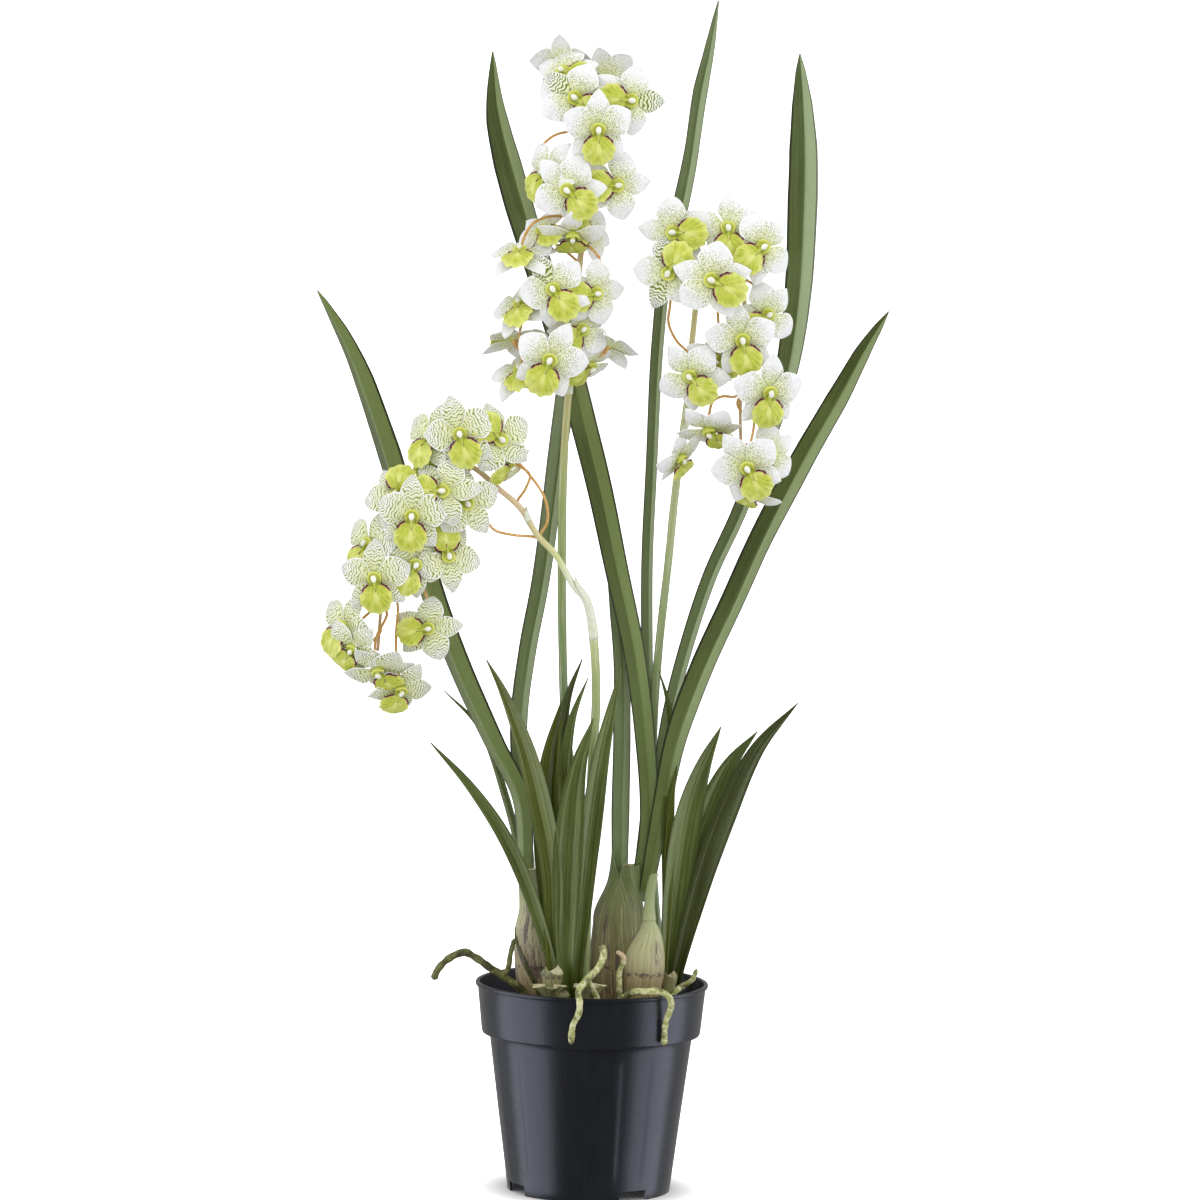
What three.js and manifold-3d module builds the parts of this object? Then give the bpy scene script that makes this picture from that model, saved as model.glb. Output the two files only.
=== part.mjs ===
// A potted cymbidium orchid: a round nursery pot filled with bark, three pseudobulbs with long strap
// leaves, two tufts of grassy leaves, aerial roots over the rim and three flower spikes in bloom.
// Millimetres, +Z up. The origin is on the pot's axis, at the level of the surface it stands on.
import * as THREE from "three";
import { mergeVertices } from "three/addons/utils/BufferGeometryUtils.js";
import Module from "manifold-3d";

const GAP = 0.3;

const POT = {
  height: 171,
  rimRadius: 95,
  lipHeight: 3,
  collarTopRadius: 93.2,
  collarBottomRadius: 89.2,
  collarHeight: 42,
  bodyTopRadius: 83,
  footRadius: 66.4,
  wall: 1.6,
  floorHeight: 8.6,
  floorThickness: 2,
  bossRadius: 14,
  notchHeight: 8.2,
  notchHalfAngle: 11,
  notchAngles: [-62, 34, 118, 214],
  sides: 32,
  firstSide: 3,
};

const MEDIUM = { edgeHeight: 147, crownHeight: 152, sides: 32 };

// Pseudobulbs: foot on the bark, greatest radius, and the lean of the neck away from the foot.
const BULBS = {
  left: { x: -45, y: 5, belly: 19, neck: 8, height: 110, leanX: -9, leanY: 0 },
  center: { x: 21, y: 15, belly: 22, neck: 13, height: 108, leanX: 14, leanY: 2 },
  right: { x: 44, y: -25, belly: 18, neck: 4.5, height: 112, leanX: 7, leanY: 3 },
};
const BULB_FOOT = 149;
const BULB_PROFILE = [
  [0, 0.62],
  [0.22, 0.86],
  [0.45, 1],
  [0.62, 0.95],
  [0.78, 0.7],
];

// Strap leaves: width at the base and at the broadest place, how far the blade is turned about its
// own length from facing forwards, and the midrib from the base to the tip.
const LONG_LEAVES = {
  long_leaf_outer_left: {
    base: 13, width: 27, turn: 18,
    path: [[-56, 6, 252], [-62, 8, 318], [-85, 10, 362], [-133, 20, 467], [-181, 32, 609],
      [-205, 34, 674], [-234, 34, 730]],
  },
  long_leaf_inner_left: {
    base: 12, width: 19, turn: -30,
    path: [[-52, 12, 252], [-59, 20, 317], [-62, 26, 382], [-46, 42, 496], [-32, 58, 618], [-20, 64, 724]],
  },
  long_leaf_center_short: {
    base: 15, width: 15, turn: -25,
    path: [[22, 18, 250], [22, 24, 318], [22, 28, 375], [20, 34, 432], [5, 42, 540]],
  },
  long_leaf_center_left: {
    base: 13, width: 24, turn: 15,
    path: [[35, 13, 236], [44, 13, 300], [39, 18, 376], [14, 28, 506], [-16, 44, 627], [-57, 56, 765],
      [-90, 58, 878], [-95, 56, 926]],
  },
  long_leaf_center_tall: {
    base: 9, width: 15, turn: 40,
    path: [[36, 25, 246], [43, 30, 317], [41, 36, 448], [41, 43, 587], [51, 50, 751], [68, 52, 839],
      [88, 44, 971]],
  },
  long_leaf_right_upright: {
    base: 11, width: 25, turn: -12,
    path: [[40, 17, 246], [52, 25, 335], [75, 34, 449], [114, 46, 552], [151, 54, 671], [161, 56, 794],
      [155, 48, 929]],
  },
  long_leaf_right_arching: {
    base: 11, width: 21, turn: -15,
    path: [[43, 8, 244], [55, 8, 320], [86, 8, 428], [136, 10, 543], [193, 18, 653], [231, 22, 722]],
  },
};
const LONG_LEAF_THICKNESS = 1.4;
const LONG_LEAF_FOLD = 22;

// Tufts of grassy leaves: the crown where they meet, and each blade's broadest width and midrib.
const TUFTS = {
  leaf_tuft_left: {
    crown: [-15, -34, 150], crownRadius: 8,
    blades: [
      [9, [[-20, -36, 160], [-42, -40, 245], [-72, -44, 302], [-102, -48, 333], [-132, -50, 366]]],
      [6, [[-20, -34, 160], [-52, -34, 275], [-86, -36, 358], [-123, -38, 411]]],
      [13, [[-18, -38, 160], [-27, -42, 235], [-40, -44, 316], [-60, -46, 388], [-86, -48, 435]]],
      [12, [[-12, -32, 160], [-27, -33, 240], [-28, -32, 310], [-17, -30, 375], [-8, -28, 435]]],
      [12, [[-9, -38, 160], [-16, -42, 250], [-15, -44, 310], [-8, -46, 350], [3, -48, 388]]],
      [14, [[-8, -33, 160], [-8, -34, 230], [-2, -36, 290], [8, -40, 355], [23, -44, 425]]],
    ],
  },
  leaf_tuft_right: {
    crown: [63, 12, 150], crownRadius: 7,
    blades: [
      [15, [[64, 12, 160], [70, 8, 245], [82, 4, 320], [98, 0, 362], [109, -4, 380]]],
      [11, [[67, 14, 160], [82, 14, 245], [102, 14, 312], [122, 12, 356], [137, 10, 378]]],
      [12, [[68, 10, 160], [89, 6, 240], [115, 0, 318], [144, -6, 372], [171, -10, 402]]],
      [7, [[61, 9, 160], [63, 6, 250], [68, 8, 335], [66, 16, 390], [57, 20, 427]]],
    ],
  },
};
const BLADE_THICKNESS = 1.2;

// Aerial roots: radius and centre lines, the first one the root's own and the others its branches.
const ROOTS = {
  aerial_root_left: [2.6,
    [[-44, -18, 147], [-60, -22, 160], [-74, -24, 175], [-88, -26, 184], [-98, -28, 191],
      [-107, -28, 193], [-117, -28, 188], [-127, -28, 181], [-131, -28, 170]],
    [[-74, -24, 175], [-70, -29, 187], [-66, -28, 200], [-63, -27, 207]]],
  aerial_root_front: [2.9,
    [[8, -62, 196], [8, -64, 186], [0, -76, 176], [-9, -92, 175.5], [-14, -100, 169],
      [-8, -98, 158], [-14, -95, 145], [-18, -93, 135], [-17, -93, 120]],
    [[0, -76, 176], [8, -70, 168], [14, -62, 147]]],
  aerial_root_short: [2.2,
    [[20, -50, 147], [21, -52, 170], [25, -54, 186], [19, -55, 196]]],
  aerial_root_right: [3,
    [[18, -64, 147], [24, -71, 160], [33, -78, 172], [46, -82, 175], [58, -82, 176], [66, -75, 169],
      [63, -72, 152], [61, -71, 138], [61, -70, 124]]],
  aerial_root_edge: [2.2,
    [[68, -22, 147], [79, -26, 166], [85, -28, 180], [87, -28, 188]],
    [[79, -26, 166], [70, -34, 168], [64, -40, 164]]],
};

// Flower spikes: stem radius at the foot and at the tip, and the stem from the bark to its end.
const SPIKES = {
  center: {
    foot: 3.6, tip: 1.6,
    path: [[-14, 2, 148], [-18, 6, 319], [-29, 10, 442], [-31, 14, 589], [-23, 10, 727], [-16, 6, 849],
      [-24, 2, 900]],
  },
  right: {
    foot: 3.4, tip: 1.4,
    path: [[60, 44, 148], [47, 38, 350], [50, 34, 449], [60, 30, 565], [70, 20, 660], [80, 6, 752],
      [99, 2, 797], [110, 0, 765], [112, -2, 674], [113, -2, 600]],
  },
  left: {
    foot: 3.6, tip: 1.4,
    path: [[-6, -24, 148], [-4, -22, 300], [-1, -20, 405], [-10, -21, 482], [-36, -26, 523],
      [-82, -38, 578], [-120, -44, 602], [-150, -46, 578], [-168, -46, 530], [-176, -44, 450]],
  },
};
const STEM_STEPS = 30;
const PEDICEL_RADIUS = 1.1;

// Flowers: where the petals meet, the way the face looks (degrees to the right, degrees up), how far
// the lip is rolled from hanging straight down, and the size against the full flower.
const FLOWER_RADIUS = 30;
const FLOWERS = {
  center: [
    [-35, -12, 910, -30, 35, 75, 0.95],
    [-26, -32, 892, -8, 5, 52, 1],
    [17, -26, 891, 12, 0, -92, 1],
    [-8, -44, 868, 5, -8, 2, 1],
    [-47, -26, 832, -50, 5, -30, 0.95],
    [-31, -40, 819, -5, -5, 48, 1],
    [7, -26, 822, 15, 5, -88, 1],
    [-27, -24, 784, 5, -60, 0, 0.95],
    [-41, -38, 738, -5, 5, 35, 1],
    [-9, -24, 735, 25, 0, -80, 0.95],
    [-66, -14, 720, -60, 10, -60, 0.9],
    [-43, -46, 682, -3, -5, -20, 1.05],
    [-19, -22, 705, 20, 5, -55, 0.9],
  ],
  right: [
    [55, -28, 785, -10, 5, 88, 1],
    [52, -34, 753, -12, 0, 150, 1],
    [98, -30, 789, 3, 10, 3, 1],
    [125, -34, 775, 15, 5, -52, 1],
    [86, -50, 749, -3, 0, 64, 1.05],
    [130, -20, 720, 22, 0, -50, 0.95],
    [111, -40, 701, 5, -8, 12, 1],
    [71, -34, 671, -12, -10, 43, 1],
    [133, -38, 659, 18, -12, -5, 1],
    [86, -24, 628, 10, -55, 50, 0.95],
    [63, -20, 604, 40, -45, 60, 0.8],
    [117, -46, 599, 3, -15, 30, 1],
  ],
  left: [
    [-137, -58, 619, -40, 15, -10, 0.95],
    [-114, -72, 623, 0, 0, 18, 1],
    [-83, -60, 618, 20, 5, -130, 1],
    [-125, -74, 577, -20, 5, -88, 1],
    [-109, -64, 567, 15, 0, -140, 1],
    [-151, -76, 557, -3, -5, -3, 1],
    [-185, -54, 531, -45, 10, -20, 0.95],
    [-123, -60, 523, 15, 10, -170, 0.95],
    [-149, -66, 517, 10, -5, -30, 0.95],
    [-180, -72, 506, -8, -5, 8, 1],
    [-204, -58, 464, -45, 5, -30, 0.95],
    [-137, -52, 464, -5, 0, -80, 0.9],
  ],
};

// The flower's outline, one row for each of its six parts: direction and length of its two tip
// points, and the hollow that follows. Directions are in degrees, lengths in parts of the radius.
const FLOWER_OUTLINE = [
  [82, 1], [98, 1], [122, 0.56],
  [146, 0.93], [178, 0.97], [204, 0.56],
  [224, 1], [236, 1], [249, 0.48],
  [258, 0.76], [282, 0.76], [291, 0.48],
  [304, 1], [316, 1], [336, 0.56],
  [2, 0.97], [34, 0.93], [58, 0.56],
];
const FLOWER_THICKNESS = 1.4;
const COLUMN = { radius: 6, height: 9 };

const wasm = await Module();
wasm.setup();

const finish = (color, roughness) => new THREE.MeshStandardMaterial({ color, roughness, metalness: 0 });
const FINISHES = {
  plastic: finish(0x2b2e33, 0.42),
  bark: finish(0x3a2c20, 0.95),
  bulb: finish(0xa9a67c, 0.7),
  leaf: finish(0x5b6b45, 0.5),
  blade: finish(0x5f7434, 0.5),
  root: finish(0x8f9950, 0.75),
  stem: finish(0xa9a866, 0.55),
  petal: finish(0xf2f4ec, 0.6),
};

const vec = ([x, y, z]) => new THREE.Vector3(x, y, z);
const smooth = (points) => new THREE.CatmullRomCurve3(points.map(vec), false, "centripetal");

// A closed three.js geometry as a solid.
function solidOf(geometry) {
  const bare = new THREE.BufferGeometry();
  bare.setAttribute("position", geometry.getAttribute("position"));
  if (geometry.index) bare.setIndex(geometry.index);
  const merged = mergeVertices(bare, 1e-3);
  const mesh = new wasm.Mesh({
    numProp: 3,
    vertProperties: merged.attributes.position.array,
    triVerts: new Uint32Array(merged.index.array),
  });
  return new wasm.Manifold(mesh);
}

// A solid as a named mesh.
function meshOf(name, solid, material) {
  const { vertProperties, triVerts, numProp } = solid.getMesh();
  const geometry = new THREE.BufferGeometry();
  geometry.setAttribute("position", new THREE.BufferAttribute(new Float32Array(vertProperties), numProp));
  geometry.setIndex(new THREE.BufferAttribute(new Uint32Array(triVerts), 1));
  geometry.computeVertexNormals();
  const mesh = new THREE.Mesh(geometry, material);
  mesh.name = name;
  return mesh;
}

// A closed skin over a row of rings, each a list of as many points as the next.
function loft(rings) {
  const count = rings[0].length;
  const index = [];
  for (let i = 0; i + 1 < rings.length; i++)
    for (let j = 0; j < count; j++) {
      const a = i * count + j;
      const b = i * count + ((j + 1) % count);
      index.push(a, b, b + count, a, b + count, a + count);
    }
  const last = (rings.length - 1) * count;
  for (let j = 1; j + 1 < count; j++) {
    index.push(0, j + 1, j);
    index.push(last, last + j, last + j + 1);
  }
  const geometry = new THREE.BufferGeometry().setFromPoints(rings.flat());
  geometry.setIndex(index);
  return geometry;
}

// Stands a geometry made about Y upright on Z, with no rounding.
const UPRIGHT = new THREE.Matrix4().set(1, 0, 0, 0, 0, 0, -1, 0, 0, 1, 0, 0, 0, 0, 0, 1);

// A profile of [radius, height] pairs turned about the vertical axis, from the first side's angle.
function turned(profile, sides, firstSide = 0) {
  const points = profile.map(([radius, height]) => new THREE.Vector2(radius, height));
  const start = THREE.MathUtils.degToRad(firstSide);
  return new THREE.LatheGeometry(points, sides, start).applyMatrix4(UPRIGHT);
}

function pot() {
  const { height, wall, floorHeight, footRadius, bodyTopRadius, rimRadius } = POT;
  const collarFoot = height - POT.collarHeight;
  const lipFoot = height - POT.lipHeight;
  const profile = [
    [0, 0],
    [POT.bossRadius, 0],
    [POT.bossRadius, floorHeight],
    [footRadius - wall, floorHeight],
    [footRadius - wall, 0],
    [footRadius, 0],
    [bodyTopRadius, collarFoot],
    [POT.collarBottomRadius, collarFoot],
    [POT.collarTopRadius, lipFoot],
    [rimRadius, lipFoot],
    [rimRadius, height],
    [POT.collarTopRadius - wall, height],
    [POT.collarBottomRadius - wall, collarFoot + wall],
    [bodyTopRadius - wall, collarFoot - wall],
    [footRadius - wall + 0.6, floorHeight + POT.floorThickness],
    [0, floorHeight + POT.floorThickness],
  ];
  let solid = solidOf(turned(profile, POT.sides, POT.firstSide));
  const half = THREE.MathUtils.degToRad(POT.notchHalfAngle);
  const cutter = new THREE.BoxGeometry(2 * Math.sin(half) * footRadius, 16, 2 * POT.notchHeight);
  for (const angle of POT.notchAngles) {
    const turn = THREE.MathUtils.degToRad(angle);
    const place = new THREE.Matrix4()
      .makeRotationZ(turn)
      .multiply(new THREE.Matrix4().makeTranslation(0, -footRadius, 0));
    solid = solid.subtract(solidOf(cutter.clone().applyMatrix4(place)));
  }
  return solid;
}

function medium() {
  const inside = (height) =>
    POT.collarBottomRadius - POT.wall + ((height - 130) * 4) / POT.collarHeight - 2 * GAP;
  const foot = POT.floorHeight + POT.floorThickness + GAP;
  const step = POT.height - POT.collarHeight - POT.wall;
  const profile = [
    [0, foot],
    [POT.footRadius - POT.wall - GAP, foot],
    [POT.bodyTopRadius - POT.wall - 2 * GAP, step],
    [inside(step) - 1, step + 5],
    [inside(MEDIUM.edgeHeight), MEDIUM.edgeHeight],
    [40, MEDIUM.crownHeight - 1],
    [0, MEDIUM.crownHeight],
  ];
  return turned(profile, MEDIUM.sides, POT.firstSide);
}

function bulb({ x, y, belly, neck, height, leanX, leanY }, grow = 0) {
  const profile = [[0, -grow]];
  for (const [share, fullness] of BULB_PROFILE) profile.push([belly * fullness + grow, height * share]);
  profile[1][1] = -grow;
  profile.push([neck + grow, height + grow], [0, height + grow]);
  const lean = new THREE.Matrix4().set(
    1, 0, leanX / height, x,
    0, 1, leanY / height, y,
    0, 0, 1, BULB_FOOT,
    0, 0, 0, 1,
  );
  return turned(profile, 14).applyMatrix4(lean);
}

// The way a blade faces at a place on its midrib, square to the midrib.
function faceOf(tangent, turn) {
  const angle = THREE.MathUtils.degToRad(turn);
  const face = new THREE.Vector3(Math.sin(angle), -Math.cos(angle), 0);
  return face.addScaledVector(tangent, -face.dot(tangent)).normalize();
}

// How broad a strap leaf is at a share of its length, against its broadest place.
function strapWidth(share, base, width) {
  const swell = base + (width - base) * Math.sin(Math.min(share / 0.55, 1) * Math.PI / 2);
  const taper = share < 0.8 ? 1 : Math.sqrt(Math.max(1 - ((share - 0.8) / 0.2) ** 2, 0));
  return swell * Math.max(taper, 0.05);
}

// A folded blade: two halves that meet at the midrib like a shallow V.
function blade(points, widthAt, { turn, fold, thickness, steps, grow = 0 }) {
  const curve = smooth(points);
  const lift = Math.tan(THREE.MathUtils.degToRad(fold));
  const rings = [];
  for (let i = 0; i <= steps; i++) {
    const share = i / steps;
    const at = curve.getPointAt(share);
    const tangent = curve.getTangentAt(share);
    const face = faceOf(tangent, turn);
    const side = new THREE.Vector3().crossVectors(tangent, face);
    const half = widthAt(share) / 2 + grow;
    const thick = (thickness / 2) * Math.min(1, half / 3) + grow;
    const point = (across, out) => at.clone().addScaledVector(side, across).addScaledVector(face, out);
    const edge = half * lift;
    rings.push([
      point(0, thick),
      point(half, edge + thick / 2),
      point(half, edge - thick / 2),
      point(0, -thick),
      point(-half, edge - thick / 2),
      point(-half, edge + thick / 2),
    ]);
  }
  return loft(rings);
}

function longLeaf({ base, width, turn, path }, grow = 0) {
  return blade(path, (share) => strapWidth(share, base, width), {
    turn, fold: LONG_LEAF_FOLD, thickness: LONG_LEAF_THICKNESS, steps: 16, grow,
  });
}

function tuft({ crown, crownRadius, blades }, grow = 0) {
  const [x, y, z] = crown;
  const stock = turned([[0, 0], [crownRadius + grow, 0], [crownRadius * 0.8 + grow, 14], [0, 14]], 10);
  let solid = solidOf(stock.translate(x, y, z));
  for (const [width, path] of blades) {
    const widthAt = (share) => width * Math.max(Math.sin(Math.PI * (0.14 + 0.86 * share)), 0.05);
    const shape = blade(path, widthAt, { turn: 0, fold: 15, thickness: BLADE_THICKNESS, steps: 9, grow });
    solid = solid.add(solidOf(shape));
  }
  return solid;
}

// A round tube of one radius along a curve. Its flats, which lie nearer the middle, grow by grow.
function tube(curve, radius, grow, sides, steps) {
  const reach = radius + grow / Math.cos(Math.PI / sides);
  const section = new THREE.Shape();
  for (let i = 0; i < sides; i++) {
    const angle = (i * 2 * Math.PI) / sides;
    section.lineTo(reach * Math.cos(angle), reach * Math.sin(angle));
  }
  return new THREE.ExtrudeGeometry(section, { steps, extrudePath: curve, bevelEnabled: false });
}

function root(radius, paths, grow = 0) {
  const tubes = paths.map((path) => solidOf(tube(smooth(path), radius, grow, 6, 3 * path.length - 3)));
  return tubes.reduce((joined, next) => joined.add(next));
}

// A stem that thins from its foot to its tip.
function stem({ foot, tip, path }, grow = 0) {
  const curve = smooth(path);
  const sides = 7;
  const rings = [];
  for (let i = 0; i <= STEM_STEPS; i++) {
    const share = i / STEM_STEPS;
    const at = curve.getPointAt(share);
    const tangent = curve.getTangentAt(share);
    const out = faceOf(tangent, 0);
    const across = new THREE.Vector3().crossVectors(tangent, out);
    const radius = foot + (tip - foot) * share + grow;
    const ring = [];
    for (let j = 0; j < sides; j++) {
      const angle = (j * 2 * Math.PI) / sides;
      const point = at.clone().addScaledVector(out, radius * Math.cos(angle));
      ring.push(point.addScaledVector(across, radius * Math.sin(angle)));
    }
    rings.push(ring);
  }
  return loft(rings);
}

// Where a flower looks, and its frame: across, towards the dorsal sepal, and out of its face.
function flowerFrame([x, y, z, azimuth, elevation, roll]) {
  const [turn, rise, spin] = [azimuth, elevation, roll].map(THREE.MathUtils.degToRad);
  const out = new THREE.Vector3(
    Math.sin(turn) * Math.cos(rise),
    -Math.cos(turn) * Math.cos(rise),
    Math.sin(rise),
  );
  const across = new THREE.Vector3(Math.cos(turn), Math.sin(turn), 0).applyAxisAngle(out, spin);
  const up = new THREE.Vector3().crossVectors(out, across);
  return new THREE.Matrix4().makeBasis(across, up, out).setPosition(x, y, z);
}

// A flower: a thin six-pointed face (three sepals, two petals and the lip) with the column in front.
function flower(place, grow = 0) {
  const radius = FLOWER_RADIUS * place[6];
  const thickness = FLOWER_THICKNESS / 2 + grow;
  const count = FLOWER_OUTLINE.length;
  const points = [
    new THREE.Vector3(0, 0, COLUMN.height * place[6] + grow),
    new THREE.Vector3(0, 0, -thickness),
  ];
  const ring = (share, lift) => {
    for (const [direction, length] of FLOWER_OUTLINE) {
      const angle = THREE.MathUtils.degToRad(direction);
      const reach = (share || length * radius) + grow;
      const rise = share ? 0 : 3 * length * length;
      points.push(new THREE.Vector3(reach * Math.cos(angle), reach * Math.sin(angle), rise + lift));
    }
  };
  ring(COLUMN.radius, thickness);
  ring(0, thickness);
  ring(0, -thickness);
  const index = [];
  for (let i = 0; i < count; i++) {
    const [a, b] = [i, (i + 1) % count];
    const [inner, front, back] = [2, 2 + count, 2 + 2 * count];
    index.push(0, inner + a, inner + b);
    index.push(inner + a, front + a, front + b, inner + a, front + b, inner + b);
    index.push(front + a, back + a, back + b, front + a, back + b, front + b);
    index.push(1, back + b, back + a);
  }
  const geometry = new THREE.BufferGeometry().setFromPoints(points);
  geometry.setIndex(index);
  return geometry.applyMatrix4(flowerFrame(place));
}

// The flower's stalk, from the nearest suitable place on the stem to just behind the flower.
function pedicel(curve, place, grow = 0) {
  const frame = flowerFrame(place);
  const behind = (distance) => new THREE.Vector3(0, 0, -distance).applyMatrix4(frame);
  const end = behind(FLOWER_THICKNESS / 2 + GAP);
  let start = curve.getPointAt(1);
  for (let i = 10; i < STEM_STEPS; i++) {
    const at = curve.getPointAt(i / STEM_STEPS);
    const reach = (point) => point.distanceTo(end) + Math.abs(point.z - end.z + 12);
    if (reach(at) < reach(start)) start = at;
  }
  const bend = start.clone().lerp(end, 0.4).add(new THREE.Vector3(0, 4, 9));
  const path = new THREE.CubicBezierCurve3(start, bend, behind(10), end);
  return tube(path, PEDICEL_RADIUS, grow, 5, 5);
}

function spike(name, grow = 0) {
  const curve = smooth(SPIKES[name].path);
  let solid = solidOf(stem(SPIKES[name], grow));
  for (const place of FLOWERS[name]) solid = solid.add(solidOf(pedicel(curve, place, grow)));
  return solid;
}

const orchid = new THREE.Group();
const placed = [];

// Adds a piece, cut back by GAP from every piece that is already in place, and keeps its main body.
function add(name, solid, swollen, material) {
  let clear = solid;
  for (const other of placed) clear = clear.subtract(other);
  const bodies = clear.decompose();
  bodies.sort((a, b) => b.volume() - a.volume());
  placed.push(swollen);
  orchid.add(meshOf(name, bodies[0], material));
}

const potSolid = pot();
orchid.add(meshOf("nursery_pot", potSolid, FINISHES.plastic));
orchid.add(meshOf("bark_medium", solidOf(medium()), FINISHES.bark));
placed.push(solidOf(medium().translate(0, 0, GAP)), potSolid);

for (const [side, sizes] of Object.entries(BULBS))
  add(`pseudobulb_${side}`, solidOf(bulb(sizes)), solidOf(bulb(sizes, GAP)), FINISHES.bulb);
for (const side of Object.keys(SPIKES))
  add(`flower_spike_${side}`, spike(side), spike(side, GAP), FINISHES.stem);
for (const [name, leaf] of Object.entries(LONG_LEAVES))
  add(name, solidOf(longLeaf(leaf)), solidOf(longLeaf(leaf, GAP)), FINISHES.leaf);
for (const [name, [radius, ...paths]] of Object.entries(ROOTS))
  add(name, root(radius, paths), root(radius, paths, GAP), FINISHES.root);
for (const [name, sizes] of Object.entries(TUFTS))
  add(name, tuft(sizes), tuft(sizes, GAP), FINISHES.blade);
for (const [side, places] of Object.entries(FLOWERS))
  places.forEach((place, i) => {
    const name = `flower_${side}_${String(i + 1).padStart(2, "0")}`;
    add(name, solidOf(flower(place)), solidOf(flower(place, GAP)), FINISHES.petal);
  });

export default orchid;
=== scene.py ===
"""Looks of a potted cymbidium orchid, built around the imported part.

Tables are in millimetres and angles in degrees; meshes are in metres, in the part's own frame:
+Z up, and -Y towards the side that the flowers face.
"""

from __future__ import annotations

import logging
import math
import random
from dataclasses import dataclass, field
from enum import Enum
from typing import Callable, Sequence

import bpy
import numpy as np
from mathutils import Matrix, Quaternion, Vector
from mathutils import noise as field_noise


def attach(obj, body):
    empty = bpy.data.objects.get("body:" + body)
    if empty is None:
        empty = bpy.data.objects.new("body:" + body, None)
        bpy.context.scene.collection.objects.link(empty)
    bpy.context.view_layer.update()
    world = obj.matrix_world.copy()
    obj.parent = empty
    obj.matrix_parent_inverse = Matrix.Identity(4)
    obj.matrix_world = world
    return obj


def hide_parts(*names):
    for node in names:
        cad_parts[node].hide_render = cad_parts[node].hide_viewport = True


LOG = logging.getLogger("orchid")
MM = 0.001
Colour = tuple[float, float, float]
Place = tuple[float, float, float]
Material = bpy.types.Material
Socket = bpy.types.NodeSocket
Stops = tuple[tuple[float, float], ...]


# Curves and meshes


def vec(*values: float) -> np.ndarray:
    """Returns the values as an array of floats."""
    return np.array(values, float)


def unit(value: np.ndarray) -> np.ndarray:
    """Returns the vector, or each row of vectors, at length one."""
    return value / np.maximum(np.linalg.norm(value, axis=-1, keepdims=True), 1e-12)


def smooth_path(points: Sequence[Place], count: int) -> np.ndarray:
    """Lays a centripetal Catmull-Rom curve through points.

    Args:
        points: The points the curve passes through.
        count: How many samples to return.

    Returns:
        Samples at equal spacing along the curve, one row each.
    """
    known = np.array(points, float)
    if len(known) == 2:
        return known[0] + (known[1] - known[0]) * np.linspace(0, 1, count)[:, None]
    known = np.vstack([2 * known[0] - known[1], known, 2 * known[-1] - known[-2]])
    dense = []
    for p0, p1, p2, p3 in zip(known, known[1:], known[2:], known[3:]):
        t1 = np.linalg.norm(p1 - p0) ** 0.5
        t2 = t1 + np.linalg.norm(p2 - p1) ** 0.5
        t3 = t2 + np.linalg.norm(p3 - p2) ** 0.5
        t = np.linspace(t1, t2, 24, endpoint=False)[:, None]
        a1 = (t1 - t) / t1 * p0 + t / t1 * p1
        a2 = (t2 - t) / (t2 - t1) * p1 + (t - t1) / (t2 - t1) * p2
        a3 = (t3 - t) / (t3 - t2) * p2 + (t - t2) / (t3 - t2) * p3
        b1 = (t2 - t) / t2 * a1 + t / t2 * a2
        b2 = (t3 - t) / (t3 - t1) * a2 + (t - t1) / (t3 - t1) * a3
        dense.append((t2 - t) / (t2 - t1) * b1 + (t - t1) / (t2 - t1) * b2)
    dense.append(known[-2][None])
    line = np.vstack(dense)
    reach = np.concatenate([[0], np.cumsum(np.linalg.norm(np.diff(line, axis=0), axis=1))])
    wanted = np.linspace(0, reach[-1], count)
    return np.stack([np.interp(wanted, reach, line[:, k]) for k in range(3)], axis=1)


def circle(sides: int) -> tuple[np.ndarray, np.ndarray]:
    """Returns equal angles round a circle, and the points of a unit circle at them."""
    angle = np.linspace(0, 2 * np.pi, sides, endpoint=False)
    return angle, np.stack([np.cos(angle), np.sin(angle), 0 * angle], 1)


def turned_rings(profile: Sequence[tuple[float, float]], ring: np.ndarray) -> np.ndarray:
    """Returns rings of points about the Z axis, one for each (radius, height) pair."""
    pairs = np.array(profile, float)
    return pairs[:, None, :1] * ring[None] + vec(0, 0, 1) * pairs[:, None, 1:]


def tangents(path: np.ndarray) -> np.ndarray:
    """Returns the direction of a path at each of its points."""
    return unit(np.gradient(path, axis=0))


def carried_frames(path: np.ndarray) -> tuple[np.ndarray, np.ndarray]:
    """Returns two directions square to a path at each point, carried along without twist."""
    ways = tangents(path)
    start = vec(0, -1, 0) if abs(ways[0][1]) < 0.8 else vec(1, 0, 0)
    outs = []
    for way in ways:
        start = unit(start - way * start.dot(way))
        outs.append(start)
    out = np.array(outs)
    return out, np.cross(ways, out)


def ease(low: float, high: float, value: np.ndarray) -> np.ndarray:
    """Returns a smooth step from 0 at low to 1 at high."""
    t = np.clip((value - low) / (high - low), 0, 1)
    return t * t * (3 - 2 * t)


def flowing(places: np.ndarray, values: np.ndarray, at: np.ndarray) -> np.ndarray:
    """Returns a flowing curve through rows of values, one row for each place in at."""
    slope = np.gradient(values, places, axis=0)
    index = np.clip(np.searchsorted(places, at, side="right") - 1, 0, len(places) - 2)
    span = (places[index + 1] - places[index])[:, None]
    t = (at - places[index])[:, None] / span
    level = values[index] + (values[index + 1] - values[index]) * t * t * (3 - 2 * t)
    return level + span * (t * (1 - t) ** 2 * slope[index] - t * t * (1 - t) * slope[index + 1])


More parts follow.
